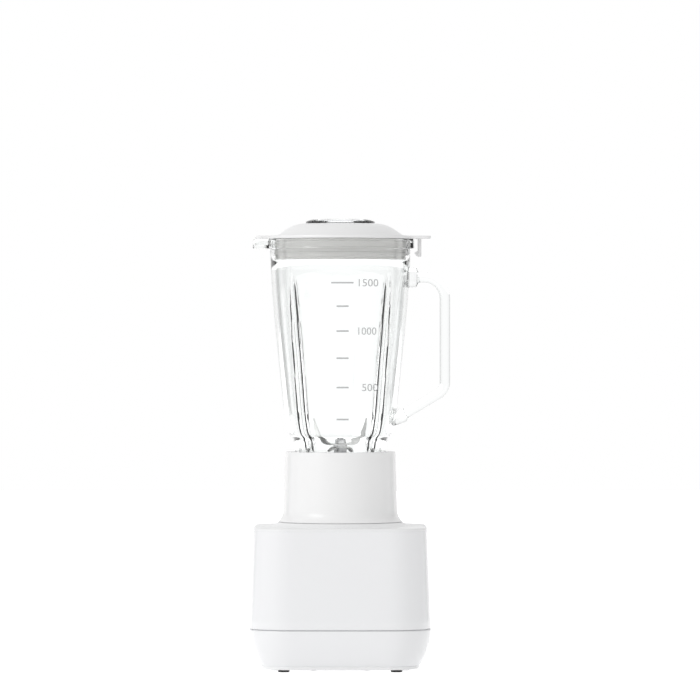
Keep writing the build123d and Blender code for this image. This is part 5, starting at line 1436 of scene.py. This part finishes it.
        away = (elbow - foot).normalized()
        sizes = []
        for reach, width, thick in ((0, 22.4, 19), (5.6, 22, 18.6), (6.6, 21, 17.6), (7.2, 19.4, 14.5),
                                    (8.4, 18.2, 10.4), (11, 18, 9.8)):
            path.append(start + Vector((reach * MM, 0)))
            sizes.append((width, thick))
        bend(start, corner, elbow, 20 * MM)
        sizes += [(18, 9.8)] * 13
        bend(corner, elbow, foot, 12 * MM)
        sizes += [(18, 9.8)] * 13
        for reach, width, thick in ((13, 18, 9.8), (10.2, 18.4, 10.2), (9.2, 19.6, 11.6), (8.4, 21.4, 13.2),
                                    (7.4, 22, 13.8), (0.0, 22.2, 14)):
            path.append(foot + away * reach * MM)
            sizes.append((width, thick))
        rings = []
        for k, point in enumerate(path):
            along = (path[min(k + 1, len(path) - 1)] - path[max(k - 1, 0)]).normalized()
            if k == 0:
                along = Vector((1, 0))
            width, thick = sizes[k]
            normal = Vector((-along.y, along.x))
            ring = []
            for across, out in self.section(width * MM, thick * MM, 4.2 * MM):
                spot = point + normal * out
                x = spot.x
                if k in (0, len(path) - 1):
                    # ends lie against the round side of the bowl
                    x = math.sqrt(max((self.radius(spot.y) + self.grip_gap) ** 2 - across * across, 0))
                ring.append((x, across, spot.y + self.foot))
            rings.append(ring)
        settle(piece("jug_grip", lofted(rings), 50), "jug", GRIP_GLASS, "clear_glass", "jug_handle")

    def bend_on(self, bm: bmesh.types.BMesh, proud: float) -> bmesh.types.BMesh:
        """Lays a flat mark on the jug's front.

        Args:
            bm: the mark, drawn in the XZ plane with its thickness along Y.
            proud: how far it stands off the wall.

        Returns:
            The same mesh, bent.
        """
        for vert in bm.verts:
            height = vert.co.z - self.foot
            r = self.radius(height) + proud + vert.co.y
            turn = vert.co.x / r
            vert.co.x, vert.co.y = r * math.sin(turn), -r * math.cos(turn)
        return bm

    def scale(self) -> None:
        """Printed ticks and numbers."""
        parts = []
        full = self.full_mark
        ticks = [(full * share, -3.5, 8.0) for share in self.mark_shares] + [(full, -8.6, 12.6)]
        for level, left, right in ticks:
            strip = box(((right - left) * MM, PRINT_DEPTH, 1.5 * MM),
                        ((left + right) / 2 * MM, PRINT_DEPTH / 2, self.foot + (level + 0.8) * MM))
            across = [e for e in strip.edges if abs(e.verts[0].co.x - e.verts[1].co.x) > 1 * MM]
            bmesh.ops.subdivide_edges(strip, edges=across, cuts=8, use_grid_fill=True)
            parts.append(self.bend_on(strip, PRINT_LIFT))
        for text, left, right, level in (("1500", 17.4, 35.8, full), ("1000", 17.0, 34.0, full * 0.751),
                                         ("500", 20.5, 35.4, full * 0.46)):
            parts.append(self.number(text, left * MM, right * MM, (level + 0.8) * MM))
        settle(piece("scale_marks", merged(parts), 30), "jug", PRINT, "print", "volume_marks")

    def number(self, text: str, left: float, right: float, level: float) -> bmesh.types.BMesh:
        """Number on the front, as a thin solid.

        Args:
            text: its digits.
            left: its left end.
            right: its right end.
            level: height of its middle above the jug's foot.

        Returns:
            The bent mesh.
        """
        curve = bpy.data.curves.new("digits", "FONT")
        curve.body = text
        curve.resolution_u = 4
        obj = bpy.data.objects.new("digits", curve)
        bpy.context.scene.collection.objects.link(obj)
        mesh = bpy.data.meshes.new_from_object(obj)
        bm = bmesh.new()
        bm.from_mesh(mesh)
        bpy.data.objects.remove(obj)
        bpy.data.meshes.remove(mesh)
        bmesh.ops.remove_doubles(bm, verts=bm.verts, dist=1e-5)
        xs = [v.co.x for v in bm.verts]
        ys = [v.co.y for v in bm.verts]
        wide, tall = (right - left) / (max(xs) - min(xs)), 7 * MM / (max(ys) - min(ys))
        x0, y0 = min(xs), (max(ys) + min(ys)) / 2
        for vert in bm.verts:
            reach = left + (vert.co.x - x0) * wide
            r = self.radius(level)
            height = self.foot + level + (vert.co.y - y0) * tall
            vert.co = Vector((r * math.asin(min(0.98, reach / r)), 0.0, height))
        grown = bmesh.ops.extrude_face_region(bm, geom=bm.faces[:])["geom"]
        verts = [v for v in grown if isinstance(v, bmesh.types.BMVert)]
        bmesh.ops.translate(bm, verts=verts, vec=(0, PRINT_DEPTH, 0))
        self.bend_on(bm, PRINT_LIFT)
        bmesh.ops.recalc_face_normals(bm, faces=bm.faces)
        return bm

    def build(self) -> None:
        """Makes the jug."""
        self.bowl()
        self.handle()
        self.scale()


# --- lid ------------------------------------------------------------------------------------
@dataclass
class Lid:
    """Lid with its dome, tabs, hook and ribbed gasket."""

    under: float = 407.9 * MM
    brim: float = 410.9 * MM
    dome: float = 422.3 * MM
    brim_radius: float = 67.6 * MM
    plug: float = 60 * MM
    crown: float = 37 * MM
    filler: float = 25.8 * MM
    wall: float = 2.4 * MM

    def curve(self, inset: float) -> list[tuple[float, float]]:
        """Dome's profile from its foot to its crown.

        Args:
            inset: how far it is moved in.

        Returns:
            The (radius, level) points.
        """
        rise = self.dome - self.brim - inset
        a, d = (self.plug - inset, 0.0), (self.crown - inset, rise)
        b, c = (a[0] - 8 * MM, rise * 0.52), (a[0] - 14 * MM, rise * 0.93)
        return [(r, self.brim + z) for r, z in bezier((a, b, c, d), 16)]

    def build(self) -> None:
        """Makes the lid and the gasket."""
        brim, low_z = self.brim_radius, self.under - 19.5 * MM
        outline = [(self.plug, low_z), (self.plug, self.under - 0.2 * MM), (brim - 0.8 * MM, self.under),
                   (brim - 0.2 * MM, self.under + 0.2 * MM), (brim, self.under + 0.8 * MM),
                   (brim, self.brim - 1.0 * MM), (brim - 0.3 * MM, self.brim - 0.3 * MM),
                   (brim - 1.0 * MM, self.brim),
                   (self.plug + 1.2 * MM, self.brim)]
        outline += self.curve(0)
        outline += [(self.filler + 0.9 * MM, self.dome), (self.filler + 0.3 * MM, self.dome - 0.2 * MM),
                    (self.filler, self.dome - 0.8 * MM), (self.filler, self.dome - 16 * MM),
                    (self.filler + 2 * MM, self.dome - 16 * MM), (self.filler + 2 * MM, self.dome - self.wall)]
        outline += list(reversed(self.curve(self.wall)))
        outline += [(self.plug - self.wall, low_z)]
        obj = piece("lid_shell", turned(outline, 160))
        for sign, reach in ((-1, 81 * MM), (1, 86 * MM)):
            half, inner = 13 * MM, 58.2 * MM
            plan = [(inner, -half), (reach, -half), (reach, half), (inner, half)]
            plan = rounded(plan, 6.5 * MM, 8)
            tab = prism([(sign * x, y) for x, y in plan], self.under, self.brim)
            soften(tab, sharp_edges(tab, 50), 0.7 * MM, 3)
            cut(obj, tab, "UNION")
        hook = prism([(73.6, -3), (77.0, -3), (77.0, 17.0), (73.6, 17.0), (70.8, 14.0), (70.8, 13.0),
                      (73.6, 11.0)], -7, 7)
        stand = Matrix(((1, 0, 0, 0), (0, 0, 1, 0), (0, -1, 0, 0), (0, 0, 0, 1)))
        place = Matrix.Translation((0, 0, self.under + 0.6 * MM)) @ Matrix.Scale(MM, 4) @ stand
        moved(hook, place)
        bmesh.ops.recalc_face_normals(hook, faces=hook.faces)
        low_hook = min(v.co.z for v in hook.verts)
        moved(hook, Matrix.Translation((0, 0, self.under - 17 * MM - low_hook)))
        soften(hook, sharp_edges(hook, 60), 0.4 * MM, 2)
        cut(obj, hook, "UNION")
        set_smooth(obj, 30)
        settle(obj, "lid", WHITE_LID, "white_collar", "lid")
        self.gasket()

    def gasket(self) -> None:
        """Soft ring with four rounded ribs."""
        outer, low_z, pitch = 63 * MM, self.under - 20.5 * MM, 20.5 * MM / 4
        outline = [(57.7 * MM, low_z), (outer - 1.2 * MM, low_z)]
        for k in range(4):
            z = low_z + pitch * k
            outline += [(outer - 0.2 * MM, z + 0.25 * MM), (outer, z + 0.9 * MM), (outer, z + 1.6 * MM),
                        (outer - 0.15 * MM, z + 2.1 * MM), (outer - 0.75 * MM, z + 2.5 * MM),
                        (outer - 0.75 * MM, z + pitch - 0.9 * MM), (outer - 0.4 * MM, z + pitch - 0.35 * MM)]
        top = self.under - 0.1 * MM
        outline += [(outer - 0.4 * MM, top), (self.plug + 0.02 * MM, top),
                    (self.plug + 0.02 * MM, low_z + 1 * MM), (57.7 * MM, low_z + 1 * MM)]
        obj = piece("lid_seal", turned(outline, 160), 35)
        settle(obj, "lid", GASKET, "seal_rubber", "lid_gasket")


@dataclass
class MeasuringCap:
    """Clear cap in the lid's filler: flange, crest, bowl and two lugs."""

    base: float = 422.6 * MM
    flange: float = 32.9 * MM
    body: float = 24 * MM
    bowl: float = 21.5 * MM
    deep: float = 20 * MM
    wall: float = 1.8 * MM

    def build(self) -> None:
        """Makes the cap."""
        rim, floor = 2.5 * MM, (1.8 - 13.4) * MM
        drop = rim - floor
        ball = (self.bowl ** 2 + drop ** 2) / (2 * drop)
        centre = floor + ball
        inner = self.body - self.wall
        outline = []
        for k in range(1, 15):
            r = self.bowl * k / 14
            outline.append((r, centre - math.sqrt(ball ** 2 - r * r)))
        a, b, c, d = ((self.bowl, rim), (self.bowl + 3 * MM, 4.6 * MM), (self.flange - 4 * MM, 3.9 * MM),
                      (self.flange - 0.3 * MM, 1.8 * MM))
        outline += bezier((a, b, c, d), 10)[1:]
        outline += [(self.flange, 1.3 * MM), (self.flange, 0.5 * MM), (self.flange - 0.5 * MM, 0.0)]
        outline += [(self.body + 0.6 * MM, 0), (self.body, -0.6 * MM), (self.body, -self.deep + 0.4 * MM),
                    (self.body - 0.4 * MM, -self.deep), (inner + 0.4 * MM, -self.deep),
                    (inner, -self.deep + 0.4 * MM)]
        big = ball + self.wall
        for k in range(14, 0, -1):
            r = inner * k / 14
            outline.append((r, centre - math.sqrt(big ** 2 - r * r)))
        bm = bmesh.new()
        verts = [bm.verts.new((r, 0, z)) for r, z in [(0, floor)] + outline + [(0, centre - big)]]
        edges = [bm.edges.new(pair) for pair in zip(verts, verts[1:])]
        bmesh.ops.spin(bm, geom=verts + edges, cent=(0, 0, 0), axis=(0, 0, 1), dvec=(0, 0, 0),
                       angle=math.tau, steps=120, use_merge=True, use_duplicate=False)
        bmesh.ops.remove_doubles(bm, verts=bm.verts, dist=1e-7)
        for vert in bm.verts:
            # two lugs at the open end
            r = math.hypot(vert.co.x, vert.co.y)
            if r > self.body - 0.6 * MM and -19.8 * MM < vert.co.z < -12 * MM and abs(vert.co.y) < 4 * MM:
                vert.co.x *= (r + 1.5 * MM) / r
        bmesh.ops.recalc_face_normals(bm, faces=bm.faces)
        moved(bm, Matrix.Translation((0, 0, self.base)))
        settle(piece("filler_cap", bm, 40), "cap", CAP_PLASTIC, "clear_plastic", "measuring_cap")


# --- studio ---------------------------------------------------------------------------------
@dataclass
class Studio:
    """Camera, white surround, floor and lights."""

    eye: tuple[float, float, float] = (0.0092, -4.75, 0.3025)
    lens: float = 257.14
    fill: float = 0.68
    glow: tuple[float, float] = (0.9, 0.02)
    key: float = 36.0

    def camera(self) -> None:
        """Level camera in front of the blender."""
        camera = bpy.data.cameras.new("camera")
        camera.lens = self.lens
        camera.sensor_width = 36
        camera.clip_end = 50
        obj = bpy.data.objects.new("camera", camera)
        obj.location = self.eye
        obj.rotation_euler = (math.pi / 2, 0, 0)
        bpy.context.scene.collection.objects.link(obj)
        bpy.context.scene.camera = obj

    def surround(self) -> None:
        """White world, a little dimmer as the light on matt surfaces."""
        world = bpy.data.worlds.new("surround")
        bpy.context.scene.world = world
        world.use_nodes = True
        tree = world.node_tree
        back = tree.nodes["Background"]
        back.inputs["Color"].default_value = (1, 1, 1, 1)
        path = tree.nodes.new("ShaderNodeLightPath")
        add_range(tree, path.outputs["Is Diffuse Ray"], back.inputs["Strength"], (0.0, 1.0), (1.0, self.fill))
        bpy.context.scene.view_settings.view_transform = "Standard"

    def floor(self) -> None:
        """Round pale floor."""
        bm = bmesh.new()
        bmesh.ops.create_circle(bm, cap_ends=True, segments=96, radius=6.0)
        obj = piece("floor", bm)
        material = bpy.data.materials.new("pale_floor")
        material.use_nodes = True
        tree = material.node_tree
        shader = tree.nodes["Principled BSDF"]
        set_sockets(shader, {
            "Base Color": (0.97, 0.97, 0.97, 1), "Roughness": 0.6, "Emission Color": (1, 1, 1, 1),
        })
        path = tree.nodes.new("ShaderNodeLightPath")
        diffuse, strength = path.outputs["Is Diffuse Ray"], shader.inputs["Emission Strength"]
        add_range(tree, diffuse, strength, (0.0, 1.0), self.glow)
        obj.data.materials.append(material)

    def area(self, name: str, place: Sequence[float], target: Sequence[float], size: float,
             power: float) -> None:
        """Square soft light.

        Args:
            name: its name.
            place: where it stands.
            target: where it is aimed.
            size: its side.
            power: its power in watts.
        """
        light = bpy.data.lights.new(name, "AREA")
        light.shape = "SQUARE"
        light.size = size
        light.energy = power
        obj = bpy.data.objects.new(name, light)
        obj.location = place
        obj.rotation_euler = (Vector(target) - Vector(place)).to_track_quat("-Z", "Y").to_euler()
        bpy.context.scene.collection.objects.link(obj)

    def flags(self) -> None:
        """Dark upright cards beside the view, which draw the edges of clear parts."""
        material = bpy.data.materials.new("flag_cloth")
        material.use_nodes = True
        shader = material.node_tree.nodes["Principled BSDF"]
        set_sockets(shader, {"Base Color": (0.2, 0.2, 0.2, 1), "Roughness": 0.9})
        for k, (turn, width) in enumerate(((50, 0.45), (76, 0.2), (284, 0.2), (310, 0.45))):
            bm = box((width, 0.01, 1.2), (0, 1.7, 0.55))
            obj = piece("flag_%d" % k, moved(bm, Matrix.Rotation(math.radians(turn), 4, "Z")))
            obj.data.materials.append(material)
            obj.visible_camera = False
            obj.visible_shadow = False
            obj.visible_diffuse = False

    def build(self) -> None:
        """Sets up the studio."""
        self.camera()
        self.surround()
        self.floor()
        self.area("key", (-2.7, -2.1, 1.9), (0, 0, 0.2), 1.8, self.key)
        self.flags()


def dress_hidden() -> None:
    """Gives every CAD node that stays its finish."""
    for node, finish in HIDDEN_FINISHES.items():
        obj = bpy.data.objects[node]
        material = finish.build()
        if not obj.material_slots:
            obj.data.materials.append(material)
        for slot in obj.material_slots:
            slot.material = material


def main() -> None:
    """Builds the studio and every piece round the frame."""
    logging.basicConfig(level=logging.INFO, format="%(name)s: %(message)s")
    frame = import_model()
    LOG.info("frame of %d nodes", len(frame["nodes"]))
    Studio().build()
    casing = Casing()
    for part in (casing, Deck(casing), Dial(), Coupler(), BladeCollar(), Blades(), Jug(), Lid(),
                 MeasuringCap()):
        part.build()
        LOG.info("%s done", type(part).__name__)
    dress_hidden()


if __name__ == "__main__":
    main()
